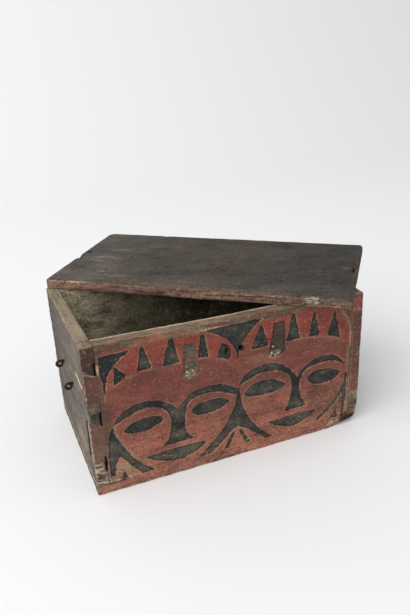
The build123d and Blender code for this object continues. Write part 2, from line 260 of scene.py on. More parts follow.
def mesh_piece(name, body, points, quads, polygons, material, marks):
    """A smooth-shaded object from its points, four-sided faces, other faces and vertex marks."""
    loops = np.concatenate([quads.ravel(), *polygons]).astype(np.int32)
    totals = np.array([4] * len(quads) + [len(p) for p in polygons], np.int32)
    starts = np.append(0, np.cumsum(totals)[:-1]).astype(np.int32)
    mesh = bpy.data.meshes.new(name)
    mesh.vertices.add(len(points))
    mesh.vertices.foreach_set("co", points.astype(np.float32).ravel())
    mesh.loops.add(len(loops))
    mesh.loops.foreach_set("vertex_index", loops)
    mesh.polygons.add(len(totals))
    mesh.polygons.foreach_set("loop_start", starts)
    mesh.polygons.foreach_set("loop_total", totals)
    mesh.update(calc_edges=True)
    mesh.validate()
    mesh.polygons.foreach_set("use_smooth", np.ones(len(mesh.polygons), bool))
    mesh.set_sharp_from_angle(angle=radians(55))
    for mark, values in marks.items():
        kind, field = ("FLOAT_VECTOR", "vector") if values.ndim == 2 else ("FLOAT", "value")
        layer = mesh.attributes.new(mark, kind, "POINT")
        layer.data.foreach_set(field, values.astype(np.float32).ravel())
    piece = bpy.data.objects.new(name, mesh)
    bpy.context.scene.collection.objects.link(piece)
    mesh.materials.append(material)
    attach(piece, body)
    return piece


# The corners of a lattice cell in turn, and the step from each to the next
CELL_CORNERS = ((0, 0), (1, 0), (1, 1), (0, 1))
CELL_STEPS = ((1, 0), (0, 1), (-1, 0), (0, -1))


def numbered(mask, start):
    """Point numbers from start on where the mask is true, and -1 elsewhere."""
    ids = np.full(mask.shape, -1)
    ids[mask] = start + np.arange(mask.sum())
    return ids


def cell_faces(ids, cells, corners):
    """A four-sided face for each true cell, from the point numbers at its corners."""
    i, j = np.nonzero(cells)
    return np.column_stack([ids[i + di, j + dj] for di, dj in corners])


def wall_faces(kept, levels):
    """Faces round the outline of the kept cells, from each level of points to the next."""
    padded = np.pad(kept, 1)
    count_u, count_v = kept.shape
    faces = []
    for (ci, cj), (di, dj) in zip(CELL_CORNERS, CELL_STEPS):
        beyond = padded[1 + dj : 1 + dj + count_u, 1 - di : 1 - di + count_v]
        i, j = np.nonzero(kept & ~beyond)
        a, b = (i + ci, j + cj), (i + ci + di, j + cj + dj)
        for near, deep in zip(levels[:-1], levels[1:]):
            faces.append(np.column_stack([near[b], near[a], deep[a], deep[b]]))
    return faces


def block_faces(blocks, group, ids):
    """One many-sided face for each true block. Where no block is beside it, it has every point."""
    padded = np.pad(blocks, 1)
    faces = []
    for bi, bj in zip(*np.nonzero(blocks)):
        ring = []
        for (ci, cj), (di, dj) in zip(CELL_CORNERS, CELL_STEPS):
            i, j = (bi + ci) * group, (bj + cj) * group
            steps = 1 if padded[bi + 1 + dj, bj + 1 - di] else group
            ring += [ids[i + di * k, j + dj * k] for k in range(steps)]
        faces.append(np.array([p for p in ring if p >= 0][::-1]))
    return faces


def kept_cells(us, vs, notched, holes):
    """Which cells of the lattice are wood, by their centres."""
    centre_u = (us[:-1] + us[1:])[:, None] / 2
    centre_v = (vs[:-1] + vs[1:])[None, :] / 2
    kept = ~notched(centre_u, centre_v) if notched else np.ones((len(us) - 1, len(vs) - 1), bool)
    for hole_u, hole_v, radius in holes:
        kept &= np.hypot(centre_u - hole_u, centre_v - hole_v) > radius
    return kept


def lattice_points(us, vs, holes, rim_point):
    """The u and v of every lattice point. Those at a hole's rim lie on its circle."""
    grid_u, grid_v = np.meshgrid(us, vs, indexing="ij")
    for hole_u, hole_v, radius in holes:
        off_u, off_v = grid_u - hole_u, grid_v - hole_v
        reach = np.hypot(off_u, off_v)
        snap = rim_point & (reach < radius * 1.5 + 0.4)
        grid_u[snap] = hole_u + off_u[snap] / reach[snap] * radius
        grid_v[snap] = hole_v + off_v[snap] / reach[snap] * radius
    return grid_u, grid_v


def plank(name, body, face, us, vs, layers, notched, holes, shape, material, group=3):
    """A closed board: a fine outer face, walls round its outline and a coarser inner face.

    notched tells which cells are cut out. holes are (u, v, radius). shape takes the lattice
    points and returns them bent, with the marks that the material reads."""
    kept = kept_cells(us, vs, notched, holes)
    count_u, count_v = kept.shape
    padded = np.pad(kept, 1)
    around = [padded[:-1, :-1], padded[1:, :-1], padded[:-1, 1:], padded[1:, 1:]]
    used = np.any(around, axis=0)
    rim_point = used & ~np.all(around, axis=0)

    # Fully kept blocks of cells become one face of the inner side
    blocks = kept.reshape(count_u // group, group, count_v // group, group).all(axis=(1, 3))
    single = kept & ~np.repeat(np.repeat(blocks, group, axis=0), group, axis=1)
    inner = np.zeros_like(used)
    inner[::group, ::group] = True
    for step_i, step_j in CELL_CORNERS:
        inner[step_i : count_u + step_i, step_j : count_v + step_j] |= single
    inner = (inner | rim_point) & used

    masks = [used] + [rim_point] * (len(layers) - 2) + [inner]
    starts = np.cumsum([0] + [mask.sum() for mask in masks])
    levels = [numbered(mask, start) for mask, start in zip(masks, starts)]
    grid_u, grid_v = lattice_points(us, vs, holes, rim_point)
    flat = [(grid_u[mask], grid_v[mask], np.full(mask.sum(), depth)) for mask, depth in zip(masks, layers)]
    *bent, marks = shape(*np.hstack(flat))
    bent = np.column_stack(bent)
    marks["board"] = bent * MM

    inner_corners = [corner[::-1] for corner in CELL_CORNERS]
    quads = np.vstack([
        cell_faces(levels[0], kept, CELL_CORNERS),
        *wall_faces(kept, levels),
        cell_faces(levels[-1], single, inner_corners),
    ])
    polygons = block_faces(blocks, group, levels[-1])
    if face.mirrored:
        quads = quads[:, ::-1]
        polygons = [ring[::-1] for ring in polygons]
    piece = mesh_piece(name, body, face.place(bent), quads, polygons, material, marks)
    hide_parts(name.replace("_plank", "_board"))


def round_off(a, b, radius):
    """How far points a and b inside two square faces move in from each, to round their arris."""
    x, y = fading(a, radius), fading(b, radius)
    length = np.maximum(np.hypot(x, y), 1e-9)
    inward = 1 - np.maximum(x, y) / length
    return radius * x * inward, radius * y * inward


RAGGED_REACH = 7


def worn_board(points, low, high, thickness, outer, inner, corners, ragged, seed):
    """The points of a board with rounded arrises and an outline that wanders in.

    outer and inner hold the radii at the left, right, bottom and top edge of the two faces, and
    corners those of the outline at the bottom left, bottom right, top left and top right. The
    outline wanders by up to ragged, and that fades within the reach from it."""
    u, v, w = points
    shift = np.zeros((3, len(u)))
    sides = ((u - low[0], 0, 1), (high[0] - u, 0, -1), (v - low[1], 1, 1), (high[1] - v, 1, -1))
    for depth, into, radii in ((w, 1, outer), (thickness - w, -1, inner)):
        for (distance, axis, way), radius in zip(sides, radii):
            across, down = round_off(distance, depth, radius)
            shift[axis] += way * across
            shift[2] += into * down
    meeting = [(side, level) for level in sides[2:] for side in sides[:2]]
    for ((side, _, way_u), (level, _, way_v)), radius in zip(meeting, corners):
        move_u, move_v = round_off(side, level, radius)
        shift[0] += way_u * move_u
        shift[1] += way_v * move_v
    u, v, w = points + shift
    edges = ((u - low[0], v / 9), (high[0] - u, v / 9), (v - low[1], u / 14), (high[1] - v, u / 14))
    left, right, bottom, top = [
        ragged * ease(rough(along, w / 9, seed + 9 * number), -0.6, 1) * ease(distance, RAGGED_REACH, 0)
        for number, (distance, along) in enumerate(edges)
    ]
    return u + left - right, v + bottom - top, w


def worn_grain(u, v, seed, depth=0.7):
    """How deep weather has eaten between a bare board's harder streaks, in millimetres."""
    hollows = 0.5 + 0.5 * rough(u / 16, v / 3.0, seed)
    return depth * hollows + 0.12 * noise(u / 4, v / 1.6, seed + 2)


def sunk(new_w, w, thickness, outer, inner, reach=8):
    """Depths with the outer face sunk in and the inner face sunk back, in millimetres."""
    return new_w + outer * fading(w, reach) - inner * fading(thickness - w, 6)


# ---------------------------------------------------------------- materials


def linear(colour):
    """Linear values of a colour, given as display values from 0 to 255. Anything else stays."""
    if not isinstance(colour, tuple):
        return colour
    return (*[((c / 255 + 0.055) / 1.055) ** 2.4 for c in colour], 1.0)


def over(tint, *layers):
    """A colour, or a tint for every point, under layers of (mask, colour or tint) in turn."""
    for mask, colour in layers:
        tint, colour = np.array(linear(tint))[..., :3], np.array(linear(colour))[..., :3]
        tint = tint + np.clip(mask, 0, 1)[:, None] * (colour - tint)
    return tint


class Shader:
    """A material's node tree with short calls for the nodes that this scene uses."""

    def __init__(self, name):
        self.material = bpy.data.materials.new(name)
        self.material.use_nodes = True
        self.tree = self.material.node_tree
        self.surface = self.tree.nodes["Principled BSDF"]

    def feed(self, socket, value):
        """Sets a socket to a value, or links an output to it."""
        if isinstance(value, bpy.types.NodeSocket):
            self.tree.links.new(value, socket)
        else:
            socket.default_value = value

    def node(self, kind, inputs, output=0, **settings):
        """The output of a new node. Its inputs are values or other nodes' outputs."""
        made = self.tree.nodes.new("ShaderNode" + kind)
        for setting, value in settings.items():
            setattr(made, setting, value)
        for name, value in inputs.items():
            self.feed(made.inputs[name], value)
        return made.outputs[output]

    def math(self, operation, a, b=0.0):
        """One arithmetic step."""
        return self.node("Math", {0: a, 1: b}, operation=operation)

    def step(self, value, low, high, top=1.0):
        """0 below low, top above high and smooth between. It also runs down, from high to low."""
        start, end = (top, 0.0) if low > high else (0.0, top)
        spans = {"From Min": min(low, high), "From Max": max(low, high), "To Min": start, "To Max": end}
        return self.node("MapRange", {"Value": value, **spans}, "Result", interpolation_type="SMOOTHSTEP")

    def product(self, *factors):
        """Numbers multiplied together."""
        total = factors[0]
        for factor in factors[1:]:
            total = self.math("MULTIPLY", total, factor)
        return total

    def weigh(self, start, *terms):
        """A start value plus each noise's distance from its middle times a weight."""
        total = start
        for value, weight in terms:
            total = self.math("ADD", total, self.product(self.math("SUBTRACT", value, 0.5), weight))
        return total

    def mix(self, factor, a, b):
        """Two colours blended by a factor."""
        inputs = {"Factor": factor, "A": linear(a), "B": linear(b)}
        return self.node("Mix", inputs, "Result", data_type="RGBA")

    def over(self, colour, *layers):
        """A colour under layers of (factor, colour) in turn."""
        for factor, top in layers:
            colour = self.mix(factor, colour, top)
        return colour

    def times(self, colour, factor):
        """A colour made lighter or darker by a factor."""
        colour = linear(colour)[:3] if isinstance(colour, tuple) else colour
        return self.node("VectorMath", {0: colour, "Scale": factor}, operation="SCALE")

    def mark(self, name, output="Fac"):
        """A vertex mark of the mesh, as a number, Color or Vector."""
        return self.node("Attribute", {}, output, attribute_name=name)

    def place(self):
        """Where a point lies in the row frame."""
        return self.node("TexCoord", {}, "Object")

    def moved(self, point, offset):
        """A point moved by an offset in metres."""
        return self.node("VectorMath", {0: point, 1: offset})

    def grain(self, point, lengths, detail, roughness, distortion=0.0):
        """Noise whose bumps have these lengths in metres along the point's axes, from 0 to 1."""
        bumps_per_metre = [1 / length for length in lengths]
        inputs = {
            "Vector": self.node("VectorMath", {0: point, 1: bumps_per_metre}, operation="MULTIPLY"),
            "Scale": 1.0, "Detail": detail, "Roughness": roughness, "Distortion": distortion,
        }
        return self.node("TexNoise", inputs, "Fac")

    def finish(self, colour, roughness, height, relief, specular=0.3):
        """Connects the surface: colour, roughness and a bump of some metres."""
        bump = self.node("Bump", {"Height": height, "Distance": relief, "Strength": 1.0})
        self.coat({
            "Base Color": colour, "Roughness": roughness, "Normal": bump, "Specular IOR Level": specular,
        })
        return self.material

    def coat(self, inputs):
        """Sets or links inputs of the surface itself."""
        for name, value in inputs.items():
            self.feed(self.surface.inputs[name], value)


class WoodNoise:
    """The noises that a board's wood and paint are made of."""

    def __init__(self, shader, offset):
        board = shader.moved(shader.mark("board", "Vector"), offset)
        place = shader.place()
        self.streaks = shader.grain(board, (0.055, 0.0030, 0.0030), 4.0, 0.62, 0.3)
        self.fibres = shader.grain(board, (0.014, 0.0011, 0.0011), 2.0, 0.6)
        self.blotches = shader.grain(board, (0.060, 0.024, 0.024), 3.0, 0.55)
        self.patches = shader.grain(board, (0.018, 0.006, 0.006), 4.0, 0.65)
        self.mottle = shader.grain(place, (0.0034, 0.0027, 0.0027), 2.0, 0.65)
        self.clouds = shader.grain(place, (0.034, 0.026, 0.024), 3.0, 0.6)
        self.flecks = shader.grain(shader.moved(place, (0.31, 0.0, 0.0)), (0.0042, 0.0026, 0.0026), 2.0, 0.6)
        self.pores = shader.grain(shader.moved(board, (0.0, 0.53, 0.0)), (0.0075, 0.0016, 0.0016), 1.0, 0.5)
        self.stains = shader.grain(shader.moved(place, (0.0, 0.0, 0.77)), (0.013, 0.010, 0.010), 5.0, 0.68)


BARE_WOOD = (172, 152, 124)
# A soil brown for dirt and dark joints, also laid as painted shade in slits, slots and holes
SOIL_AND_SHADE = (42, 34, 30)


def board_material(
    name, offset, warm, cool, streak=1.0, fleck=0.35, roughness=0.85, specular=0.3, paint=None,
):
    """A plank's surface: its tint, worked over with grain, stains, flecks, bare wood, dirt and painted shade.

    warm and cool are the colours of its stains. The mark called coarse makes the grain stronger."""
    shader = Shader(name)
    wood = WoodNoise(shader, offset)
    relief = shader.weigh(
        0.0, (wood.streaks, 0.75 * streak), (wood.fibres, 0.4 * streak), (wood.blotches, 0.6),
        (wood.mottle, 1.1), (wood.clouds, 0.7),
    )
    shade = shader.math("ADD", 1.0, shader.product(relief, shader.mark("coarse")))
    shade = shader.math("MAXIMUM", shade, 0.2)
    stain = shader.product(shader.mark("coarse"), 0.24)
    colour = shader.over(
        shader.mark("tint", "Color"),
        (shader.product(shader.step(wood.stains, 0.50, 0.64), stain), warm),
        (shader.product(shader.step(wood.stains, 0.48, 0.34), stain), cool),
    )
    colour = shader.times(colour, shade)
    if paint:
        colour = paint(shader, wood, colour, shade)
    bared = shader.weigh(shader.mark("bare"), (wood.patches, 1.6), (wood.flecks, 0.8))
    # This mark darkens towards the soil brown: real dirt and dark joints, and painted shade in slots, gaps,
    # holes, seat edges and along the foot
    dirt_and_shade_level = shader.weigh(shader.mark("dirt_and_shade"), (wood.patches, 0.6))
    colour = shader.over(
        colour,
        (shader.step(bared, 0.35, 0.8), shader.times(BARE_WOOD, shade)),
        (shader.step(wood.flecks, 0.60, 0.72, fleck), BARE_WOOD),
        (shader.product(shader.step(wood.pores, 0.34, 0.24), stain), SOIL_AND_SHADE),
        (shader.step(dirt_and_shade_level, 0.15, 0.85), SOIL_AND_SHADE),
    )
    height = shader.weigh(0.5, (wood.streaks, 0.8), (wood.fibres, 0.4), (wood.mottle, 0.8), (wood.pores, 0.6))
    return shader.finish(colour, shader.weigh(roughness, (wood.patches, 0.2)), height, 0.0012, specular)


def carved_paint(shader, wood, ground, shade):
    """Black paint in the sunk shapes, ragged at its border, with a broken pale line round it and a painted
    shadow line just inside its border.
    """
    ink = shader.weigh(shader.mark("ink"), (wood.flecks, 2.0), (wood.mottle, 2.4))
    char = shader.weigh(shader.mark("char"), (wood.clouds, 1.2), (wood.stains, 1.0))
    black = shader.over(
        shader.times(shader.mix(shader.step(char, 0.0, 1.0), (36, 40, 41), (82, 77, 67)), shade),
        (shader.step(wood.stains, 0.57, 0.70, 0.45), (120, 116, 98)),
        (shader.step(wood.stains, 0.44, 0.34, 0.6), (26, 27, 26)),
        # Painted shadow: a near-black line just inside each sunk shape's border, where its carved wall would
        # shade it
        (shader.product(shader.step(ink, -2.4, -1.2), shader.step(ink, 0.2, -0.5, 0.6)), (26, 26, 24)),
    )
    rubbed = shader.product(
        shader.step(ink, -0.4, 0.6), shader.step(ink, 2.2, 0.9),
        shader.step(wood.stains, 0.40, 0.56, 0.8), shader.step(wood.clouds, 0.30, 0.52),
    )
    return shader.over(ground, (rubbed, (150, 126, 98)), (shader.step(ink, 0.8, -0.7), black))


RED_STAINS = ((166, 78, 58), (100, 84, 66))
GREY_STAINS = ((140, 128, 112), (72, 60, 50))
FOOT_STAINS = ((150, 112, 92), (74, 60, 50))
LID_STAINS = ((88, 74, 63), (60, 62, 59))
front_wood = board_material("front_wood", (0.0, 0.0, 0.0), *RED_STAINS, streak=0.8, paint=carved_paint)
left_wood = board_material("left_wood", (0.7, 0.3, 0.1), *GREY_STAINS, streak=1.3)
right_wood = board_material("right_wood", (1.7, 0.9, 0.4), *GREY_STAINS, streak=1.3)
back_wood = board_material("back_wood", (2.1, 1.3, 0.9), *GREY_STAINS, streak=0.45)
bottom_wood = board_material("bottom_wood", (3.1, 0.2, 1.9), *FOOT_STAINS, streak=0.8)
lid_wood = board_material(
    "lid_wood", (4.4, 2.6, 0.2), *LID_STAINS, streak=1.1, fleck=0.25, roughness=0.7, specular=0.2,
)


# ---------------------------------------------------------------- the front board

# Outlines on the front, in millimetres from its left end and up from the table
LEFT_MASK = (
    outline(
        [(37, 110), (51.5, 119.5), (70, 123.5), (92.5, 119.5), (107, 110.5), (116, 101)],
        [(122, 106), (131, 115.5), (146.5, 122), (166.5, 123), (187, 118.5), (204, 107)],
        [(203, 98)],
        [(188, 106), (173.5, 111.5), (155.5, 113.5), (139.5, 110.5), (130, 103), (127, 90)],
        [(125.5, 78), (126, 66), (129.5, 57), (138.5, 49.5)],
        [(93, 49)],
        [(100.5, 57.5), (105, 71.5), (107, 86), (103.5, 99)],
        [(97.5, 106), (84.5, 112.5), (68, 113.5), (49.5, 108), (28.5, 99)],
    ),
    outline(
        [(50, 94.5), (63, 98.5), (78, 99.5), (90, 97.5), (96.5, 93)],
        [(94.5, 88.5), (84, 83), (69, 80), (53, 81.5), (45, 84.5), (43, 88)],
    ),
    outline(
        [(140, 96.5), (150, 100.5), (166, 101.5), (180, 99.5), (191.5, 92.5)],
        [(182, 87), (168, 82.5), (152, 82), (141, 85), (135.5, 90.5)],
    ),
    outline(
        [(110.5, 41), (156, 39)],
        [(149, 32.5), (138, 27), (122, 22), (107, 22), (92, 26), (79, 31.5), (67, 39.5)],
    ),
)
RIGHT_MASK = (
    outline(
        [(213, 124), (228.5, 132), (249, 135), (268.5, 129.5), (284, 117.5), (296, 102)],
        [(302, 111), (313.5, 120), (334, 125.5), (353.5, 123.5), (366.5, 114.5), (374, 104)],
        [(362.5, 111), (348, 116), (330, 115.5), (313, 112.5), (303.5, 104.5), (299.5, 92)],
        [(300, 79), (303.5, 65), (311, 52.5)],
        [(276, 51.5)],
        [(282, 62.5), (286.5, 80.5), (287, 96.5)],
        [(281.5, 110), (267.5, 120), (246.5, 123.5), (226, 120.5), (205, 111)],
    ),
    outline(
        [(220, 104), (231, 110), (250, 110.5), (264, 105.5), (276.5, 96.5)],
        [(268, 91), (254, 87.5), (236, 88.5), (221, 91), (212.5, 95.5)],
    ),
    outline(
        [(317, 101.5), (328, 104.5), (344, 103.5), (358, 98.5), (366.5, 92.5)],
        [(361.5, 86.5), (349, 82), (334, 81.5), (320, 85.5), (311.5, 95)],
    ),
    outline(
        [(288.5, 42), (328, 40)],
        [(319, 32.5), (304, 26), (289, 23), (275, 26), (261, 32.5), (247.5, 40.5)],
    ),
)
CROWN = (
    corners((39.5, 182.5), (54, 166), (36.5, 156)),
    corners((73.5, 200.5), (77.5, 200.5), (86.5, 169), (67.5, 169)),
    corners((110.5, 202.5), (116.5, 202.5), (123.5, 168), (101, 168)),
    corners((153.5, 199), (158.5, 199), (163.5, 167), (148.5, 168)),
    corners((183, 182), (193, 175), (195, 160), (190.5, 155.5), (174.5, 164.5)),
    corners((239, 195), (241, 195), (250.5, 162), (224.5, 162)),
    corners((286, 201), (290, 201), (299.5, 162), (278, 162)),
    corners((319.6, 198), (321.2, 198), (330.5, 159.5), (313, 161.5)),
    corners((352.4, 191), (354.4, 191), (364, 148.5), (343, 157)),
)
# The black ground: spandrels over the heads, their cheeks and the cross between them
GROUND = (
    outline(
        [(61.5, 200)],
        [(51, 194), (42, 187), (34, 177.5), (29.5, 171), (27, 163), (25.5, 148)],
        [(23, 148)],
        [(23.5, 164), (21, 174)],
        [(21, 191), (20.5, 199.5)],
    ),
    outline(
        [(241.5, 204.5)],
        [(225.5, 191.5), (214, 178.5), (208, 166.5), (205, 154)],
        [(201.5, 168), (193.5, 181.5), (184, 190.5), (174, 196.5), (162, 204)],
    ),
    outline(
        [(31, 86), (37.5, 69.5), (48, 50), (62, 31.5), (80, 17)],
        [(63, 16)],
        [(51, 29), (43, 41.5), (34.5, 51.5)],
        [(28, 40.5), (25, 24)],
        [(19, 24)],
        [(20, 59), (22.5, 83.5), (28.5, 99)],
    ),
    corners((37.5, 29), (42.5, 16), (33, 15.5)),
    outline(
        [(199.5, 86), (190, 64.5), (175.5, 45), (158.5, 29), (145, 16)],
        [(160.5, 16)],
        [(175.5, 27.5), (189.5, 40.5), (202.5, 49)],
        [(216, 41), (231, 28), (246.5, 15)],
        [(256.5, 16)],
        [(239.5, 30), (223, 52), (211, 78), (206, 108.5)],
        [(203, 108.5)],
    ),
    corners((198.5, 41.5), (187.5, 16.5), (180.5, 16), (193.5, 39.5)),
    corners((203.5, 42), (208.5, 41), (222, 16.5), (214.5, 16.5)),
    outline(
        [(370.5, 67), (360.5, 52.5), (347, 38.5), (329.5, 23.5)],
        [(332, 20), (349, 33), (363, 47), (373.5, 62), (377.5, 75), (376, 81)],
    ),
    corners((362.5, 31), (365.5, 16), (350.5, 17)),
    corners((375.8, 88), (378.6, 86), (378.6, 58), (375, 15), (371.6, 15), (372.6, 60)),
)
SEATS = (
    corners((130.5, 191), (144.5, 191), (149.5, 147.5), (143.5, 141.5), (133.5, 141.5), (127.5, 146.5)),
    corners((259.5, 193.5), (276, 193), (276, 148.5), (267.5, 142.5), (257.5, 142.5), (251.5, 149.5)),
)
# A painted shadow line down the left edge of the right hasp seat
SEAT_EDGE_SHADOW = [(259.5, 193), (258, 184), (255, 170)]
# Thin scribed lines: points, half width, how dark the cut is and how plain its pale edges are
GROOVES = (
    ([(380.5, 189.5), (380.5, 120.5), (381.5, 21.5)], 0.7, 0.9, 0.9),
    ([(384, 206), (384, 120), (384.5, 26)], 0.8, 0.9, 0.9),
    ([(365, 188), (370, 183), (375, 175.5), (379, 165), (380.5, 153), (381.5, 132.5)], 0.9, 0.0, 1.0),
    ([(31.5, 97), (34, 84), (40, 69.5), (50, 52), (65, 34), (82, 19)], 0.4, 0.0, 0.9),
    ([(377, 131), (377, 98), (372, 78)], 0.5, 0.0, 0.7),
    ([(30, 151), (46.5, 159), (67, 167), (103, 168.5), (128.5, 168)], 0.5, 0.5, 0.35),
    ([(149.5, 167), (168.5, 162.5), (186, 154.5), (200, 142.5)], 0.5, 0.5, 0.4),
    ([(210, 160.5), (253.5, 162), (302.5, 161.5)], 0.5, 0.5, 0.35),
    ([(302.5, 161.5), (332, 157), (353.5, 149), (371, 141.5)], 0.6, 0.7, 0.7),
    ([(205.4, 154), (205, 112)], 0.4, 0.45, 0.35),
    ([(23.8, 150), (23.5, 134)], 0.5, 0.8, 0.4),
)
# The line under the crown's teeth
CROWN_FOOT = np.array([
    (20.5, 141), (31, 151), (46.5, 159), (67, 167), (123.5, 168), (163.5, 164), (186, 154.5), (202, 142.5),
    (210, 160.5), (302.5, 161.5), (332, 157), (353.5, 149), (380.5, 134.5),
], float)

def finger_spans(joints):
    """Height spans of the end board's fingers, then those of the long board's."""
    levels = (foot, *joints, rim + corner_rise)
    spans = list(zip(levels[:-1], levels[1:]))
    return spans[0::2], spans[1::2]


left_end_spans, left_long_spans = finger_spans(LEFT_JOINTS)
right_end_spans, right_long_spans = finger_spans(RIGHT_JOINTS)


def within(v, spans):
    """True where a height lies in one of the spans."""
    return np.any([(v > low) & (v < high) for low, high in spans], axis=0)


def seam_distance(u, v, length, thicknesses, spans):
    """Millimetres from a board's notches, which lie at its two ends, up to the limit."""
    near = [rectangle(-FAR, thicknesses[0], low, high) for low, high in spans[0]]
    far = [rectangle(length - thicknesses[1], length + FAR, low, high) for low, high in spans[1]]
    return np.clip(nearest(u, v, near + far), 0, FAR)


def patched(tint, u, v, patches, grain, seed):
    """A tint with soft patches, broken up by noise with bumps of this size."""
    for centre_u, centre_v, half_u, half_v, colour, strength in patches:
        broken = 1 + 0.8 * noise(u / grain[0], v / grain[1], seed)
        tint = over(tint, (strength * (spot(u, v, (centre_u, centre_v), (half_u, half_v)) * broken), colour))
    return tint


def leaning(across, height):
    """How far the left front joints rise towards the corner. across runs from it along the front."""
    lean = np.zeros_like(height)
    for level in LEANING_JOINTS:
        lean += JOINT_LEAN * (end_thickness / 2 - across) * ease(np.abs(height - level), 9, 2)
    return lean * ease(across, end_thickness + 3, end_thickness)


# The left front joint gapes on the end face: where, in millimetres back from the front, by height
GAP_HEIGHTS = (48, 84, 111)
GAP_DEPTHS = (21.6, 17.6, 14.9)
GAP_HALF_WIDTH = 4.0
# The lowest slot runs on above its joint, and pale chalk lies along the left mouth's lower lip
SLOT_ABOVE = [(15.6, 57), (16.2, 46)]
CHALK_STREAK = [(92, 35), (99, 31.5), (103, 30), (112, 26.5)]


def gap_shift(height):
    """How far the gaping joint's middle lies behind the front board's inner face."""
    return np.interp(height, GAP_HEIGHTS, GAP_DEPTHS) - front_thickness


GREY_WOOD = (98, 89, 81)
DULL_RED = (112, 64, 56)
CROWN_RED = (130, 62, 52)
ROSE = (152, 98, 80)
BROWN = (88, 68, 56)
TAN = (124, 103, 84)
RIM_TAN = (126, 109, 90)
OLIVE = (88, 80, 68)
# Near-black painted shade for the walls of the gaping left front joint
GAP_SHADE = (16, 13, 11)

# Patches on the front: centre u, centre v, half width, half height, colour and strength
FRONT_PATCHES = (
    (90, 207, 20, 7, (128, 70, 58), 1.0),
    (145, 207, 24, 7, TAN, 0.9),
    (45, 208, 26, 7, (84, 66, 52), 1.0),
    (210, 208, 26, 6, (104, 87, 74), 0.9),
    (276, 206, 24, 8, (86, 66, 56), 0.9),
    (330, 204, 26, 8, (112, 70, 60), 0.8),
    (370, 188, 14, 20, (130, 88, 76), 0.8),
    (9, 57, 9, 8, (122, 106, 90), 0.8),
    (18.8, 183, 2.6, 9, (190, 162, 124), 1.1),
    (167, 205.5, 26, 2.0, (180, 156, 118), 0.9),
    (50, 110, 26, 7, (126, 88, 74), 0.4),
    (240, 146, 34, 12, (124, 84, 68), 0.7),
    (338, 52, 44, 44, (106, 74, 62), 0.8),
    # Painted shadow of the lid's overhang: a dark olive patch at the top right
    (377, 182, 7, 12, (64, 60, 48), 1.2),
    (38, 17, 26, 3, (168, 154, 132), 1.0),
    (42, 34, 20, 14, (148, 130, 108), 1.2),
    # Painted shade at the broken foot's right corner
    (388, 17, 26, 9, (60, 49, 42), 1.1),
    (366, 42, 14, 26, (92, 66, 59), 0.9),
    (137, 147, 13, 8, (150, 144, 122), 0.8),
    (261, 147, 13, 8, (160, 154, 132), 0.8),
)


# The carved panel lies between the end boards' fingers
PANEL_LEFT, PANEL_RIGHT = 21, 382


def front_tint(u, v, w, below_rim, seat):
    """The red paint of the front, duller above and rubbed to rose below."""
    streaky = rough(u / 26, v / 11, 71)
    worn = 0.75 * ease(v + 14 * streaky, 118, 50) + 0.5 * ease(v, 50, 10) + 0.12 * streaky
    foot_line = np.interp(u, CROWN_FOOT[:, 0], CROWN_FOOT[:, 1])
    band = ease(below_rim + 2.0 * rough(u / 16, v / 6, 61), 13.5, 8.5)
    tint = over(
        DULL_RED,
        (worn, ROSE),
        (0.9 * ease(v, foot_line - 1, foot_line + 2) * between(u, PANEL_LEFT, PANEL_RIGHT, 2), CROWN_RED),
        (0.8 * ease(u, 29, 24) * ease(v, 14, 30), BROWN),
        (0.9 * ease(u, 36, 22) * ease(v, 64, 40), (134, 116, 98)),
        (band, over(BROWN, (0.25 + 1.1 * rough(u / 22, v / 2.4, 63), (128, 104, 76)))),
        (ease(seat, 0.6, -0.6), OLIVE),
    )
    tint = patched(tint, u, v, FRONT_PATCHES, (2.4, 2.4), 74)
    tint = over(
        tint,
        (ease(u, 19, 16) * between(v, 139, 178), (90, 61, 50)),
        (0.9 * ease(u, 19, 16) * between(v, 50, 107), (102, 78, 65)),
        (ease(u, PANEL_RIGHT, PANEL_RIGHT + 3) * (0.85 + 0.3 * streaky), (92, 64, 56)),
        (ease(u, 384, 387) * ease(v, 176, 190), (122, 70, 62)),
    )
    for line, width, darkness, edge in GROOVES:
        off_line = distance_to_line(u, v, line)
        tint = over(
            tint,
            (edge * ease(off_line, width + 1.3, width * 0.6), (146, 122, 96)),
            (darkness * ease(off_line, width * 0.8, width * 0.3), SOIL_AND_SHADE),
        )
    joint = distance_to_line(u, v - leaning(u, v), [(0, 178), (17, 178)])
    on_rim = ease(w, 0.6, 1.8) * ease(below_rim, 3.0, 1.0)
    rim_streaks = 0.25 + 1.3 * rough(u / 24, w / 3, 73)
    inside = ease(w, 3, 6) * ease(below_rim, 1.5, 3.0)
    return over(
        tint,
        (0.8 * ease(joint, 1.3, 0.6) * ease(u, 18, 16), (150, 128, 104)),
        (on_rim, over(RIM_TAN, (rim_streaks, (104, 78, 60)), (0.5 * ease(u, 150, 240), (104, 80, 64)))),
        # A pale worn inner edge on the rim, widened as a painted highlight
        (0.85 * on_rim * ease(w, front_thickness - 5, front_thickness - 3), (190, 174, 144)),
        (inside, GREY_WOOD),
        (inside * between(u, 4, box_length - 4), (128, 118, 98)),
    )


# The front's two torn holes: centre and half sizes
LEFT_MOUTH = ((189.5, 168), (2.6, 4.6))
RIGHT_MOUTH = ((210.5, 168), (3.6, 4.2))


def carved_depth(u, v, ink, seat):
    """How deep the front is cut: the sunk shapes, the hasp seats and the scribed lines."""
    seat_floor = SEAT_DEPTH + 0.5 * rough(u / 3, v / 5, 44)
    sink = np.maximum(CARVING_DEPTH * ease(ink, 0.7, -0.8), seat_floor * ease(seat, 0.5, -0.5))
    for points, width, _, _ in GROOVES:
        line = distance_to_line(u, v, points)
        sink = np.maximum(sink, 0.6 * ease(line, width + 0.6, width * 0.3))
    return sink


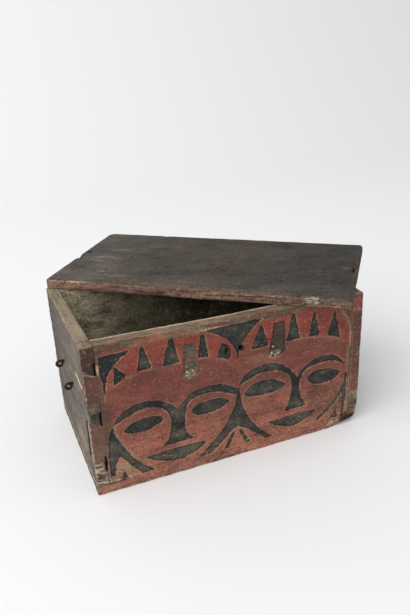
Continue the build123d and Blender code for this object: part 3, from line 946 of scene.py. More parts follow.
def front_char(u, v):
    """How brown and pale the front's black paint has become."""
    char = 0.30 + 0.25 * rough(u / 30, v / 22, 81) + 0.2 * ease(v, 100, 50)
    char -= 0.35 * spot(u, v, (30, 180), (36, 34))
    char += 0.30 * between(v, 15, 42, 2) * between(u, 64, 332, 4)
    return char + 0.5 * ease(u, 332, 348) * ease(v, 92, 70)


def front_shape(u, v, w):
    """The front board bent to its worn shape, and its marks."""
    new_u, new_v, new_w = worn_board(
        (u, v, w), (0, foot), (box_length, rim), front_thickness,
        outer=(1.4 + 0.6 * noise(v / 17, 0, 6), 1.6, 0.4, 2.2 + 0.9 * noise(u / 22, 0, 5)),
        inner=(0.4, 0.4, 0.4, 1.4), corners=(0.3, 0.3, 1.0, 2.6), ragged=0.5, seed=31,
    )
    new_v = new_v + leaning(new_u, new_v)
    rise = corner_rise * fading(new_u, FRONT_RISE_RUN)
    new_v = new_v + rise * ease(new_v, rim - RISE_REACH, rim)

    drift = 0.45 * rough(new_u / 3.2, new_v / 3.2, 40)
    ink = nearest(new_u, new_v, LEFT_MASK + RIGHT_MASK + CROWN + GROUND) + drift
    seat = nearest(new_u, new_v, SEATS) + drift
    left_mouth = oval_reach(new_u, new_v, *LEFT_MOUTH)
    right_mouth = oval_reach(new_u, new_v, *RIGHT_MOUTH)
    seam = seam_distance(u, v, box_length, (end_thickness, end_thickness), (left_end_spans, right_end_spans))
    sink = carved_depth(new_u, new_v, ink, seat) + 0.5 * ease(seam, 1.2, 0) * ease(new_v, 196, 186)
    sink += 3.0 * ease(left_mouth, 1.15, 0.8) + 1.6 * ease(right_mouth, 1.3, 0.9)
    sink += 0.22 + 0.22 * rough(new_u / 7, new_v / 4, 47) + 0.14 * noise(new_u / 2.4, new_v / 2.4, 49)
    new_w = sunk(new_w, w, front_thickness, sink, 0.3 + 0.3 * rough(u / 9, v / 4, 52))

    # The lowest free finger has dried away from the end board
    freed = between(v, 49, 112, 2) * ease(u, 17, 10)
    new_w = new_w + (gap_shift(v) - GAP_HALF_WIDTH) * freed * ease(w, 10, 17)
    # The gap's walls are coloured near-black: painted shade
    gap = freed * ease(w, 9.5, 12.5)
    slot_top = distance_to_line(new_u, new_v, SLOT_ABOVE)
    new_w = new_w + 3.5 * ease(slot_top, 1.5, 0.7) * fading(w, 8)

    below_rim = rim + rise - new_v
    on_face = ease(w, 1.6, 0.4)
    on_seat = ease(seat, 0.5, -0.5)
    arris = ease(np.hypot(new_u, new_w), 2.2, 0.8)
    top_arris = ease(np.hypot(np.maximum(below_rim, 0), new_w), 2.4, 0.9)
    # The rim's inner edge: worn pale wood and a painted highlight
    inner_arris = ease(w, front_thickness - 2.0, front_thickness - 0.8) * ease(below_rim, 3.4, 1.4)
    chalk = ease(distance_to_line(new_u, new_v, CHALK_STREAK), 2.4, 0.6) * on_face
    # The seats' own darker tone, with painted shade along their borders and a painted shadow line at the
    # right seat's left edge
    seat_tone_and_shade = 0.08 + 0.42 * ease(new_u, 190, 240) + 0.35 * ease(seat, -2.6, -0.6)
    seat_tone_and_shade += 0.8 * ease(distance_to_line(new_u, new_v, SEAT_EDGE_SHADOW), 2.2, 0.8)
    coarse = 1.1 + 0.8 * ease(new_v, 110, 60) * ease(new_u, 384, 372) + 0.2 * ease(below_rim, 12, 8)
    coarse += 0.1 * ease(new_u, 380, 385) - 0.5 * ease(new_u, 22, 17) + 0.8 * on_seat
    bare = 0.6 * arris + 0.35 * top_arris + 0.2 * ease(new_v, 60, 20) * on_face + 0.9 * inner_arris
    bare += (0.1 + 0.55 * noise(new_u / 3, new_v / 1.5, 83)) * chalk
    # Darker in the torn mouths and in the slot above the lowest joint (painted shade), and along the foot
    # from 8 to 46 (a painted shadow line); the seams are dark joints
    dirt_and_shade = 0.35 * ease(seam, 1.4, 0) * ease(new_v, 196, 186) + 1.1 * ease(left_mouth, 1.2, 0.9)
    dirt_and_shade += 0.9 * between(new_u, 8, 46, 3) * ease(new_v, 15.6, 14.6) + 0.9 * ease(right_mouth, 1.3, 1.0)
    dirt_and_shade += seat_tone_and_shade * on_seat + 1.3 * ease(slot_top, 1.5, 0.8) * on_face
    tint = over(
        front_tint(new_u, new_v, w, below_rim, seat),
        (0.9 * between(v, 49, 110) * ease(u, 1.0, 0.3) * ease(w, 1, 2), (150, 138, 124)),
        (gap, GAP_SHADE),
    )
    marks = dict(tint=tint, ink=np.where(w < 1.6, ink, FAR), char=front_char(new_u, new_v))
    return new_u, new_v, new_w, dict(**marks, coarse=coarse * (1 - gap), bare=bare, dirt_and_shade=dirt_and_shade)


def front_notched(u, v):
    """Cells of the front board that make room for the end boards' fingers."""
    left = (u < end_thickness) & within(v, left_end_spans)
    right = (u > box_length - end_thickness) & within(v, right_end_spans)
    return left | right


front_face = Face((front_low[0], front_low[1], 0), (1, 0, 0), (0, 0, 1), (0, 1, 0))
LONG_JOINTS = sorted(set(LEFT_JOINTS + RIGHT_JOINTS))
LONG_ENDS = (end_thickness, box_length - end_thickness)
LONG_LAYERS = (0, 0.6, 1.4, 2.8, 5.5, 9, 13, 16.5, 18.2)
plank(
    "front_plank", "box", front_face,
    grid_lines(0, box_length, 1.25, LONG_ENDS, 3), grid_lines(foot, rim, 1.25, LONG_JOINTS, 3),
    (*LONG_LAYERS, front_thickness), front_notched,
    [(u, HOLE_HEIGHT, HOLE_RADIUS) for u in HOLES_FROM_LEFT], front_shape, front_wood,
)


# ---------------------------------------------------------------- end, back and bottom boards

PALE_GREY = (132, 116, 100)
DARK_GREY = (76, 69, 63)
INNER_WOOD = (152, 143, 118)
INNER_DARK = (88, 80, 62)
SLATE = (60, 57, 52)

# The left end board's end grain in the front: height span and colour
END_GRAIN = ((178, 217, (66, 46, 37)), (107, 139, (88, 70, 57)), (14, 50, (146, 129, 107)))
# Slots between that end grain and the front board: height span and depth
SLOTS = ((177, 191.5, 7.0), (108, 124.5, 9.0), (36.5, 57, 9.0))
SLOT_LOW, SLOT_HIGH = 14.9, 16.5
FOOT_CRACK = [(15.5, 36), (15, 26), (14, 16)]
LONG_CRACK = [(60, 92), (110, 94), (165, 97)]
SCAR = [(53, 157), (39, 154.5), (24, 153), (11, 158)]
# The free finger's notch and the gap beside it: height span
NOTCH_MOVED = (48, 110)


def end_notched(spans):
    """Cells of an end board that make room for the long boards' fingers."""
    def notched(u, v):
        near_ends = (u < front_thickness) | (u > box_depth - back_thickness)
        return near_ends & within(v, spans)
    return notched


def end_edge(w, v, spans):
    """Millimetres from the outline of an end board's fingers, for points inside it."""
    ends = [rectangle(-FAR, end_thickness, low, high) for low, high in spans]
    return -nearest(np.minimum(w, end_thickness), v, ends)


def grey_wood(u, v, length, seed):
    """Weathered grey with darker streaks."""
    return over(GREY_WOOD, (ease(rough(u / length, v / 14, seed), -0.3, 0.7), DARK_GREY))


def left_tint(u, v, w, end_grain, below_rim):
    """Grey wood outside, a greenish inside and the front's colours on the end grain."""
    inside = ease(w, 6, 12) * between(u, 2, box_depth - 4)
    tint = over(
        GREY_WOOD,
        (0.9 * ease(u + 20 * rough(u / 40, v / 16, 161), 40, 220), DARK_GREY),
        (spot(u, v, (72, 44), (44, 26)), PALE_GREY),
        (0.15 * spot(u, v, (50, 185), (44, 24)), PALE_GREY),
        (inside, INNER_WOOD),
        # The inside darker towards the bottom: painted shade
        (0.6 * inside * ease(v, 90, 30), INNER_DARK),
        *[(end_grain * between(v - leaning(w, v), low, high), colour) for low, high, colour in END_GRAIN],
        (end_grain * between(v, 110, 124, 1.5) * between(w, 3.4, 13, 1), SLATE),
        # Soil brown in the slit of the end grain: painted shade
        (end_grain * between(v, 24.5, 27.5) * ease(w, 15, 13), SOIL_AND_SHADE),
    )
    split = noise(w / 8 + v / 14, (v + 0.25 * w) / 2.3, 177) * end_grain * between(v, 14, 49)
    rim_colour = over((136, 121, 101), (ease(u, 20, 18), RIM_TAN))
    return over(
        tint, (1.3 * split, (188, 174, 148)), (-1.6 * split, (62, 50, 41)),
        (ease(below_rim, 3.0, 1.2), rim_colour),
    )


def cut_end_grain(new_u, v, w, at_front):
    """The left end grain set back in the box's front, by slots, a sunk patch, a slit and splits."""
    for bottom, top, depth in SLOTS:
        new_u = new_u + depth * at_front * (w > SLOT_LOW) * (w < SLOT_HIGH) * (v > bottom) * (v < top)
    patch = (w > 3.4) * (w < 13.4) * between(v, 110, 124)
    slit = between(v, 24.5, 27) * ease(w, 16, 13)
    layers = between(v, 15, 48, 2) * ease(noise(w / 9, v / 1.9, 77), -0.1, 0.5)
    return new_u + at_front * (1.6 * patch + 2.5 * slit + 1.5 * layers)


def left_shape(u, v, w):
    """The left end board, bent and marked. Its front edge shows in the box's front."""
    new_u, new_v, new_w = worn_board(
        (u, v, w), (0, foot), (box_depth, rim), end_thickness,
        outer=(1.4 + 0.6 * noise(v / 17, 0, 6), 2.0, 0.4, 2.0 + 0.8 * noise(u / 20, 0, 15)),
        inner=(0.4, 0.4, 0.4, 1.6), corners=(0.3, 0.5, 0.7, 4.0), ragged=0.6, seed=131,
    )
    at_front = ease(u, 6, 0)
    new_v = new_v + leaning(w, v) * at_front
    rise = corner_rise * fading(new_u, END_RISE_RUN)
    new_v = new_v + rise * ease(new_v, rim - RISE_REACH, rim)

    new_u = cut_end_grain(new_u, v, w, at_front)
    worn_edge = 0.4 * at_front * ease(end_edge(new_w, v, left_end_spans), 1.2, 0.0)
    new_u = new_u + worn_edge * (w < end_thickness) * ease(v, 197, 191)

    # The free finger's notch has moved back with the gap beside it
    off_notch = np.abs(u - front_thickness)
    beside = between(v, *NOTCH_MOVED, 1)
    # The gap's walls are coloured near-black: painted shade
    gap = ease(off_notch, 2.2, 0.6) * beside
    new_u = new_u + ease(off_notch, 14, 0) * beside * ease(w, 17, 13) * (gap_shift(v) + GAP_HALF_WIDTH)

    foot_crack = distance_to_line(new_u, new_v, FOOT_CRACK)
    long_crack = distance_to_line(new_u, new_v, LONG_CRACK)
    scar = distance_to_line(new_u, new_v, SCAR)
    seam = seam_distance(u, v, box_depth, (front_thickness, back_thickness), [left_long_spans] * 2)
    seam = seam + 3 * ease(v, 191, 196) * at_front
    sink = worn_grain(new_u, new_v, 141) + 0.6 * ease(seam, 1.3, 0)
    sink += 3.0 * ease(foot_crack, 2.0, 0.6) + 1.2 * ease(scar, 2.0, 0.8) + 1.0 * ease(long_crack, 1.2, 0.4)
    sink += ease(new_v, foot + 14, foot) * (0.3 + 0.6 * ease(rough(new_u / 12, 0, 147), -0.4, 0.8))
    new_w = sunk(new_w, w, end_thickness, sink, 0.3 + 0.3 * rough(u / 12, v / 3, 151))

    below_rim = rim + rise - new_v
    end_grain = ease(u, 2.2, 0.8)
    arris = ease(np.hypot(new_u, new_w), 2.2, 0.8)
    in_slot = (w > 14.6) * (w < 16.8) * within(v, [span for *span, _ in SLOTS])
    coarse = 1.5 + 0.7 * end_grain * ease(v, 178, 168) - 0.3 * ease(below_rim, 3, 1)
    bare = 0.6 * arris * ease(v, 190, 170) + 0.2 * end_grain * between(v, 14, 50)
    dirt_and_shade = 1.3 * ease(foot_crack, 2.6, 1.0) + 0.35 * ease(seam, 1.4, 0) + 0.8 * ease(long_crack, 1.6, 0.5)
    # Darkened in the slots of the end grain: painted shade
    dirt_and_shade += 1.2 * at_front * in_slot + 0.8 * ease(off_notch, 1.6, 0.5) * ease(below_rim, 3.0, 1.0)
    tint = over(
        left_tint(new_u, v, new_w, end_grain, below_rim),
        (ease(scar, 3.4, 1.6) * (w < 6), (222, 204, 160)),
        (gap, GAP_SHADE),
    )
    return new_u, new_v, new_w, dict(tint=tint, coarse=coarse * (1 - gap), bare=bare, dirt_and_shade=dirt_and_shade)


def right_shape(u, v, w):
    """The right end board, bent and marked. Its foot is broken at the front."""
    new_u, new_v, new_w = worn_board(
        (u, v, w), (0, foot), (box_depth, rim), end_thickness, outer=(1.6, 2.0, 0.8, 2.2),
        inner=(0.4, 0.4, 0.4, 1.6), corners=(1.0, 0.5, 1.2, 4.0), ragged=0.6, seed=231,
    )
    at_front = ease(u, 6, 0)
    worn_edge = 0.5 * at_front * ease(end_edge(new_w, new_v, right_end_spans), 1.2, 0.0)
    new_u = new_u + worn_edge * (w < end_thickness)
    splits = between(v, 40, 54, 2)
    new_u = new_u + at_front * splits * 1.4 * ease(noise(w / 9, v / 1.9, 277), -0.1, 0.5)

    seam = seam_distance(u, v, box_depth, (front_thickness, back_thickness), [right_long_spans] * 2)
    sink = worn_grain(new_u, new_v, 241) + 0.6 * ease(seam, 1.3, 0)
    sink += 4.0 * ease(new_v, 42, foot) ** 2 * ease(new_u, 45, 10)
    sink += 1.2 * ease(new_v, 203, rim) ** 2 * ease(new_u, 40, 0)
    new_w = sunk(new_w, w, end_thickness, sink, 0.3 + 0.3 * rough(u / 12, v / 3, 251), reach=12)

    end_grain = ease(u, 2.2, 0.8)
    tint = over(
        grey_wood(u, v, 40, 261),
        (ease(w, 6, 12) * between(u, 2, box_depth - 4), INNER_WOOD),
        (end_grain, over((96, 73, 64), (ease(v, 180, 192), (124, 72, 64)))),
        (end_grain * between(v, 111, 127), (92, 77, 66)),
        (end_grain * between(v, 40, 56), (118, 98, 80)),
        (ease(rim - new_v, 3.0, 1.2), RIM_TAN),
    )
    bare = 0.4 * ease(np.hypot(new_u, new_w), 2.6, 1.0) + 0.3 * end_grain * splits
    dirt_and_shade = 0.35 * ease(seam, 1.4, 0)
    return new_u, new_v, new_w, dict(tint=tint, coarse=1.4 + 0.6 * end_grain, bare=bare, dirt_and_shade=dirt_and_shade)


def back_shape(u, v, w):
    """The back board, with a rough-sawn inside."""
    new_u, new_v, new_w = worn_board(
        (u, v, w), (0, foot), (box_length, rim), back_thickness, outer=(1.8, 1.8, 0.8, 2.2),
        inner=(0.4, 0.4, 0.4, 1.6), corners=(0.6, 0.6, 2.0, 3.0), ragged=0.8, seed=331,
    )
    seam = seam_distance(u, v, box_length, (end_thickness, end_thickness), (left_end_spans, right_end_spans))
    sink = worn_grain(new_u, new_v, 341) + 0.6 * ease(seam, 1.3, 0)
    scratches = ease(noise((u + 1.6 * v) / 9, (u - 0.6 * v) / 2.2, 357), 0.25, 0.8)
    saw_marks = 0.4 + 0.25 * rough(u / 11, v / 2.6, 351) + 0.5 * scratches
    new_w = sunk(new_w, w, back_thickness, sink, saw_marks)
    inside = ease(w, back_thickness - 2.5, back_thickness - 1.0)
    inside = inside * between(u, end_thickness - 2, box_length - end_thickness + 2)
    tint = over(
        grey_wood(u, v, 50, 361),
        # Painted light: the inside much paler at the left end, where light falls in
        (inside, over((122, 115, 92), (ease(u, 130, 40), (218, 209, 176)))),
        (0.5 * inside * scratches, (182, 172, 146)),
        (0.8 * inside * ease(rough(u / 24, v / 7, 365), 0.0, 0.7), INNER_DARK),
        # Painted shade: the inside dark towards the right, under the lid
        (0.85 * inside * ease(u, 130, 235), (52, 47, 38)),
        (ease(rim - new_v, 3.0, 1.2), (152, 138, 117)),
    )
    dirt_and_shade = 0.35 * ease(seam, 1.4, 0)
    return new_u, new_v, new_w, dict(tint=tint, coarse=1.4 + 0.9 * inside, bare=0 * u, dirt_and_shade=dirt_and_shade)


# The broken front right corner of the foot: how far the underside is gone, from left to right
BREAK_FROM_LEFT = (352, 360, 370, 380, 390, 400)
BREAK_RISE = (0, 3, 5, 6, 9, 13.4)
BREAK_LIMIT = 13.2


def bottom_shape(u, v, w):
    """The bottom board, whose outer face is the underside. Its front edge shows as the base."""
    new_u, new_v, new_w = worn_board(
        (u, v, w), (0, 0), (box_length, box_depth), foot,
        outer=(1.0, 2.2, 1.4 + 0.6 * noise(u / 18, 0, 405), 2.0), inner=(0.4, 0.4, 0.5, 0.5),
        corners=(0.8, 8.0, 3.0, 3.0), ragged=0.9, seed=431,
    )
    lifted = np.interp(u, BREAK_FROM_LEFT, BREAK_RISE) * ease(v, 34, 4)
    lifted = lifted * (1 + 0.15 * noise(u / 5, v / 5, 437))
    new_w = new_w + np.minimum(lifted, BREAK_LIMIT) * fading(w, foot)
    new_w = new_w + 0.25 * ease(rough(u / 20, v / 4, 441), -0.2, 0.8) * ease(w, 3, 0)
    at_front = ease(v, 2.5, 0.8)
    fresh = 0.7 * spot(new_u, new_w + 3 * noise(new_u / 5, new_w / 1.5, 471), (356, 8), (15, 6)) * at_front
    # Darker along the seam with the front: a dark joint, with a painted shadow line from 8 to 46 from the
    # left
    seam = ease(w, foot - 1.2, foot - 0.3) * at_front * (0.35 + 0.65 * between(u, 8, 46, 2))
    tint = over(
        grey_wood(u, v, 50, 461),
        (ease(w, foot - 3, foot - 1) * ease(v, 3, 6), INNER_WOOD),
        (at_front, over(ROSE, (0.6 + 0.5 * rough(u / 30, w / 8, 463), (138, 92, 80)))),
        (at_front * between(u, 190, 310, 30), (164, 104, 86)),
        (0.5 * at_front * ease(u, 16, 4), (134, 104, 88)),
        # Dark at the broken right corner: painted shade under the broken foot
        (at_front * ease(u, 362, 384), (76, 60, 51)),
    )
    coarse = 2.0 - 1.0 * at_front * ease(u, 362, 376)
    bare = 1.0 * fresh + 0.45 * ease(np.hypot(new_v, new_w), 3.0, 1.2) + 0.15 * at_front
    # The seam and the broken corner are darkened as above
    dirt_and_shade = 0.7 * seam + 0.9 * at_front * ease(u, 362, 378)
    return new_u, new_v, new_w, dict(tint=tint, coarse=coarse, bare=bare, dirt_and_shade=dirt_and_shade)


END_LINES = grid_lines(0, box_depth, 1.5, (front_thickness, box_depth - back_thickness), 3)
LEFT_LAYERS = (0, 0.6, 1.4, 2.6, 5.0, 8.0, 11.0, 14.7, 15.0, 16.4, 16.7, end_thickness)
RIGHT_LAYERS = (0, 0.6, 1.4, 2.6, 5.0, 8.0, 11.0, 14.0, 16.2, end_thickness)
BOTTOM_LAYERS = (0, 0.6, 1.4, 2.8, 5.0, 7.5, 10, 12, 13.2, foot)
plank(
    "left_plank", "box",
    Face((left_low[0], left_low[1], 0), (0, 1, 0), (0, 0, 1), (1, 0, 0)),
    END_LINES, grid_lines(foot, rim, 1.3, LEFT_JOINTS + (39, 57, 124), 3), LEFT_LAYERS,
    end_notched(left_long_spans), [], left_shape, left_wood,
)
plank(
    "right_plank", "box",
    Face((right_high[0], right_low[1], 0), (0, 1, 0), (0, 0, 1), (-1, 0, 0)),
    END_LINES, grid_lines(foot, rim, 1.6, RIGHT_JOINTS, 3), RIGHT_LAYERS,
    end_notched(right_long_spans), [], right_shape, right_wood,
)
plank(
    "back_plank", "box",
    Face((back_low[0], back_high[1], 0), (1, 0, 0), (0, 0, 1), (0, -1, 0)),
    grid_lines(0, box_length, 1.9, LONG_ENDS, 1), grid_lines(foot, rim, 1.9, LONG_JOINTS, 1),
    (*LONG_LAYERS, back_thickness), front_notched, [], back_shape, back_wood, group=1,
)
plank(
    "bottom_plank", "box",
    Face((bottom_low[0], bottom_low[1], 0), (1, 0, 0), (0, 1, 0), (0, 0, 1)),
    grid_lines(0, box_length, 2.2, (), 1), grid_lines(0, box_depth, 2.2, (), 1),
    BOTTOM_LAYERS, None, [], bottom_shape, bottom_wood, group=1,
)


# ---------------------------------------------------------------- lid

# The lid's tones from left to right; the paler left is partly painted light
LID_MIDDLE = (64, 57, 50)
LID_LEFT = (80, 74, 68)
LID_RIGHT = (50, 47, 43)
# The lid's tie holes: along, across and radius. Four lie in a row near its right end
TIE_ROW = lid_length - 6.5
LID_HOLES = (
    (7, 133, 1.75), (TIE_ROW, 139.5, 1.75), (TIE_ROW, 122, 1.6), (TIE_ROW, 114.5, 1.6),
    (TIE_ROW, 107, 1.6),
)

# Patches on the lid's top: centre u, centre v, half width, half height, colour and strength
LID_PATCHES = (
    (48, 104, 34, 20, (104, 97, 88), 0.6),
    (254, 104, 34, 24, (66, 54, 46), 0.8),
    (190, 12, 44, 10, (122, 72, 60), 0.9),
    (90, 117.5, 6, 3.5, SOIL_AND_SHADE, 1.0),
    # Near-black and soil spots at the left hole and the end's notch: painted shade in them
    (9, 131, 8, 11, (16, 13, 11), 1.0),
    (3, 112, 6, 18, SOIL_AND_SHADE, 0.9),
    (225, 2, 8, 5, SOIL_AND_SHADE, 0.9),
    # Near-black at the right hole and the tie slot: painted shade in them
    (438, 139.5, 4, 5, (14, 11, 10), 1.0),
    (438, 116, 2.5, 16, (18, 15, 12), 1.0),
    (425, 122, 16, 9, (78, 72, 66), 0.8),
    (40, 60, 60, 60, (98, 92, 84), 0.35),
    (60, 150, 30, 8, (122, 116, 106), 0.5),
    (96, 34, 26, 9, (118, 112, 102), 0.5),
)
# Faint pale scratches on the lid
LID_SCRATCHES = (
    [(61, 46), (74, 47.5)], [(75, 17.5), (87, 18.5)], [(25, 109.5), (52, 115)], [(39, 89), (54, 91.5)],
    [(33, 46.5), (46, 47.5)], [(134, 70), (142, 70.5)], [(200, 25.5), (224, 24.5)], [(28, 60), (44, 63)],
)
LID_GOUGE = [(58, 20), (72, 32), (88, 47)]
# Pale strokes where the front edge has chipped
LID_CHIPS = (
    [(391, 0.5), (385, -1), (382.5, -3.5), (385, -4.5), (390, -4.5)],
    [(392, 0.8), (401, 0.2)],
    [(393, -1.8), (400, -2.2)],
    [(385, -6.2), (391, -6.6)],
    [(396, -5.2), (401.5, -6)],
)


def lid_tint(u, v, w, front):
    """Dark stain, paler to the left and towards the front, partly dust and partly painted sheen and light
    from the left, with a worn brown front edge.
    """
    streaky = rough(u / 60, v / 9, 571)
    # Paler to the left and towards the front: partly dust, partly painted sheen and light from the left
    tint = over(
        LID_LEFT,
        (ease(u + 30 * streaky, -10, 190), LID_MIDDLE),
        (ease(u + 30 * streaky, 250, 400), LID_RIGHT),
        (0.35 * ease(v + 12 * streaky, 62, 22), (92, 85, 77)),
    )
    tint = patched(tint, u, v, LID_PATCHES, (5, 1.8), 574)
    reach = 6 + 9 * spot(u, 0, (200, 0), (130, 1)) + 3 * rough(u / 14, 0, 561)
    band = ease(v, reach + 2.5, reach - 2.5) * ease(w, 3, 1)
    upper = over((136, 102, 89), (0.4 + 1.5 * rough(u / 20, w / 1.5, 565), (84, 64, 56)))
    lower = over((84, 62, 54), (0.5 + 1.6 * rough(u / 22, w / 1.5, 567), (142, 112, 94)))
    tint = over(
        tint,
        (band, over((104, 86, 70), (0.5 + 0.6 * rough(u / 9, v / 4, 563), (80, 62, 50)))),
        (ease(u, lid_length - 9, lid_length - 4) * ease(w, 3, 1), (66, 56, 48)),
        (front, over(upper, (ease(w, 5.5, 8), lower))),
        (front * ease(w, 10.5, 12.5) * ease(u, 250, 320), (110, 88, 75)),
        (0.8 * front * ease(w, 6, 4) * ease(u, 396, 408), (84, 74, 66)),
    )
    for stroke in LID_SCRATCHES:
        faint = 0.7 * ease(distance_to_line(u, v, stroke), 1.8, 0.5) * (1 + noise(u / 4, v / 1.5, 583))
        tint = over(tint, (faint * (w < 3), (134, 128, 116)))
    for stroke in LID_CHIPS:
        tint = over(tint, (0.9 * ease(distance_to_line(u, v - w, stroke), 1.2, 0.3), (164, 154, 140)))
    under = ease(w, lid_thickness - 1.5, lid_thickness - 0.5) * (1 - front)
    return over(tint, (under, DARK_GREY))


def lid_shape(u, v, w):
    """The lid plank, whose outer face is its top, bent and marked."""
    new_u, new_v, new_w = worn_board(
        (u, v, w), (0, 0), (lid_length, LID_DEPTH), lid_thickness,
        outer=(1.8, 4.0, 2.8 + 1.0 * noise(u / 30, 0, 505), 1.5), inner=(0.8, 0.8, 1.8, 0.8),
        corners=(3.0, 2.0, 12.0, 4.0), ragged=0.7, seed=531,
    )
    new_u = new_u + 2.2 * between(new_v, 99, 115, 3) * ease(u, 7, 0)
    new_v = new_v - 1.6 * spot(new_u, new_v, (107, LID_DEPTH), (6, 6))
    wedge = spot(new_u, new_v, (4, 104), (9, 5))
    slot = spot(new_u, new_v, (TIE_ROW, 116), (3.4, 16))
    gouge = ease(distance_to_line(new_u, new_v, LID_GOUGE), 1.4, 0.5)
    sink = 0.25 + 0.25 * rough(new_u / 60, new_v / 3.0, 541) + 0.08 * noise(new_u / 9, new_v / 1.7, 545)
    sink += 1.2 * wedge + 0.5 * ease(new_v, 26, 4) * ease(rough(new_u / 11, new_v / 4, 551), -0.2, 0.8)
    sink += 0.35 * gouge + 2.8 * slot
    new_w = new_w + sink * fading(w, 6)
    front = ease(v, 2.0, 0.6) * ease(w, 0.3, 1.6)
    bare = (0.2 + 0.35 * noise(new_u / 16, 0, 577)) * ease(np.hypot(new_v, new_w), 3.4, 1.6)
    bare += 0.4 * noise(new_u / 26, 0, 579) * front * ease(new_w, lid_thickness - 4, lid_thickness - 2)
    # Paler wood towards the top's left front: wear, and partly painted sheen
    bare += 0.12 * ease(new_u, 150, 20) * ease(new_v, 130, 40)
    bare += 0.1 * ease(new_v, 9, 3) * ease(new_u, 120, 60)
    marks = {
        "tint": lid_tint(new_u, new_v, new_w, front),
        "coarse": 1.6 + 0.6 * np.maximum(front, ease(new_v, 24, 8)),
        "bare": bare,
        # The notch's wedge and the tie slot are darkened as painted shade; the gouge holds dirt
        "dirt_and_shade": 0.9 * wedge + 1.2 * slot + 0.3 * gouge,
    }
    return new_u, new_v, new_w, marks


LID_ALONG = (cos(LID_TURN), -sin(LID_TURN), 0)
LID_ACROSS = (sin(LID_TURN), cos(LID_TURN), 0)
LID_CORNER = (lid_low[0], back_high[1] - LID_CORNER_FROM_BACK, lid_high[2])
LID_LAYERS = (0, 0.6, 1.4, 2.6, 4.2, 6.5, 9, 11, 12.6, 13.4, lid_thickness)
plank(
    "lid_plank", "lid", Face(LID_CORNER, LID_ALONG, LID_ACROSS, (0, 0, -1)),
    grid_lines(0, lid_length, 1.5, (), 3), grid_lines(0, LID_DEPTH, 1.5, (), 3),
    LID_LAYERS, None, LID_HOLES, lid_shape, lid_wood,
)


# ---------------------------------------------------------------- iron and nails


def iron_material(name, dark, rust, pale, roughness):
    """Old forged iron: dark scale, rust blooms and pale specks."""
    shader = Shader(name)
    point = shader.place()
    blooms = shader.grain(point, (0.003, 0.003, 0.003), 4.0, 0.65)
    pits = shader.grain(point, (0.0008, 0.0008, 0.0008), 3.0, 0.7)
    colour = shader.over(
        dark, (shader.step(blooms, 0.42, 0.62), rust), (shader.step(pits, 0.55, 0.7, 0.5), pale),
    )
    shader.coat({"Metallic": 0.35})
    return shader.finish(colour, shader.step(pits, -0.4, roughness + 0.9), pits, 0.0003, 0.4)


iron = iron_material("old_iron", (26, 22, 21), (52, 36, 31), (66, 56, 50), 0.5)
stub_metal = iron_material("stub_metal", (186, 178, 158), (150, 134, 112), (226, 220, 204), 0.5)
front_nail_iron = iron_material("front_nail_iron", (118, 96, 88), (104, 78, 68), (150, 132, 120), 0.6)
nail_iron = iron_material("nail_iron", (58, 42, 36), (88, 56, 46), (104, 84, 74), 0.6)


def ring_points(place, way, normal, radius, sides):
    """Points on a circle about a place, square to a way."""
    other = np.cross(way, normal)
    angles = [2 * pi * k / sides for k in range(sides)]
    return [place + radius * (cos(a) * normal + sin(a) * other) for a in angles]


def ring_faces(count, sides):
    """The side faces between rings of points, and the two end faces."""
    k = np.arange(sides)
    starts = np.arange(count - 1)[:, None] * sides
    a, b = (starts + k).ravel(), (starts + (k + 1) % sides).ravel()
    return np.column_stack([a, b, b + sides, a + sides]), [k[::-1], k + (count - 1) * sides]


def roughened(points, size, amount, seed):
    """Points shaken by smooth noise, for a hammered surface."""
    x, y, z = (points / size).T
    shaken = [noise(y, z, seed), noise(z, x, seed + 1), noise(x, y, seed + 2)]
    return points + amount * np.column_stack(shaken)


def tube(path, radii, sides, bumps):
    """Points and faces of a closed tube along a path. bumps are their size, height and seed."""
    path = np.array(path, float)
    ways = np.gradient(path, axis=0)
    ways /= np.linalg.norm(ways, axis=1)[:, None]
    normal = np.cross(ways[0], (0.31, 0.17, 0.93))
    points = []
    for place, way, radius in zip(path, ways, radii):
        normal = normal - way * np.dot(normal, way)
        normal /= np.linalg.norm(normal)
        points += ring_points(place, way, normal, radius, sides)
    return roughened(np.array(points), *bumps), *ring_faces(len(path), sides)


def dome(centre, way, radius, height, depth, seed, rings=6, sides=16):
    """Points and faces of a nail head with a short shank, its crown towards way."""
    centre, way = np.array(centre, float), np.array(way, float)
    side = np.cross(way, (0.2, 0.3, 0.93))
    side /= np.linalg.norm(side)
    profile = [(radius * sin(a), height * cos(a)) for a in np.linspace(0.12, pi / 2, rings)]
    profile += [(radius * 0.96, -0.35), (radius * 0.45, -0.8), (radius * 0.4, -depth)]
    points = []
    for reach, level in profile:
        points += ring_points(centre + way * level, way, side, reach, sides)
    quads, caps = ring_faces(len(profile), sides)
    return roughened(np.array(points), 1.6, 0.16, seed), quads[:, [0, 3, 2, 1]], [cap[::-1] for cap in caps]


def metal_piece(name, node, parts, material):
    """One piece from several (points, quads, end faces), in place of a CAD node."""
    points, quads, caps, start = [], [], [], 0
    for part_points, part_quads, part_caps in parts:
        points.append(part_points)
        quads.append(part_quads + start)
        caps += [ring + start for ring in part_caps]
        start += len(part_points)
    piece = mesh_piece(name, "box", np.vstack(points) * MM, np.vstack(quads), caps, material, {})
    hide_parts(node)


RING_OUTER = 6.1
RING_WIRE = 1.9
RING_HANG = 3.5
LEG_RADIUS = 1.6
SHANK_RADIUS = 2.0
RING_TURN = 2.04 * pi
RING_POINTS, SHANK_POINTS = 44, 10


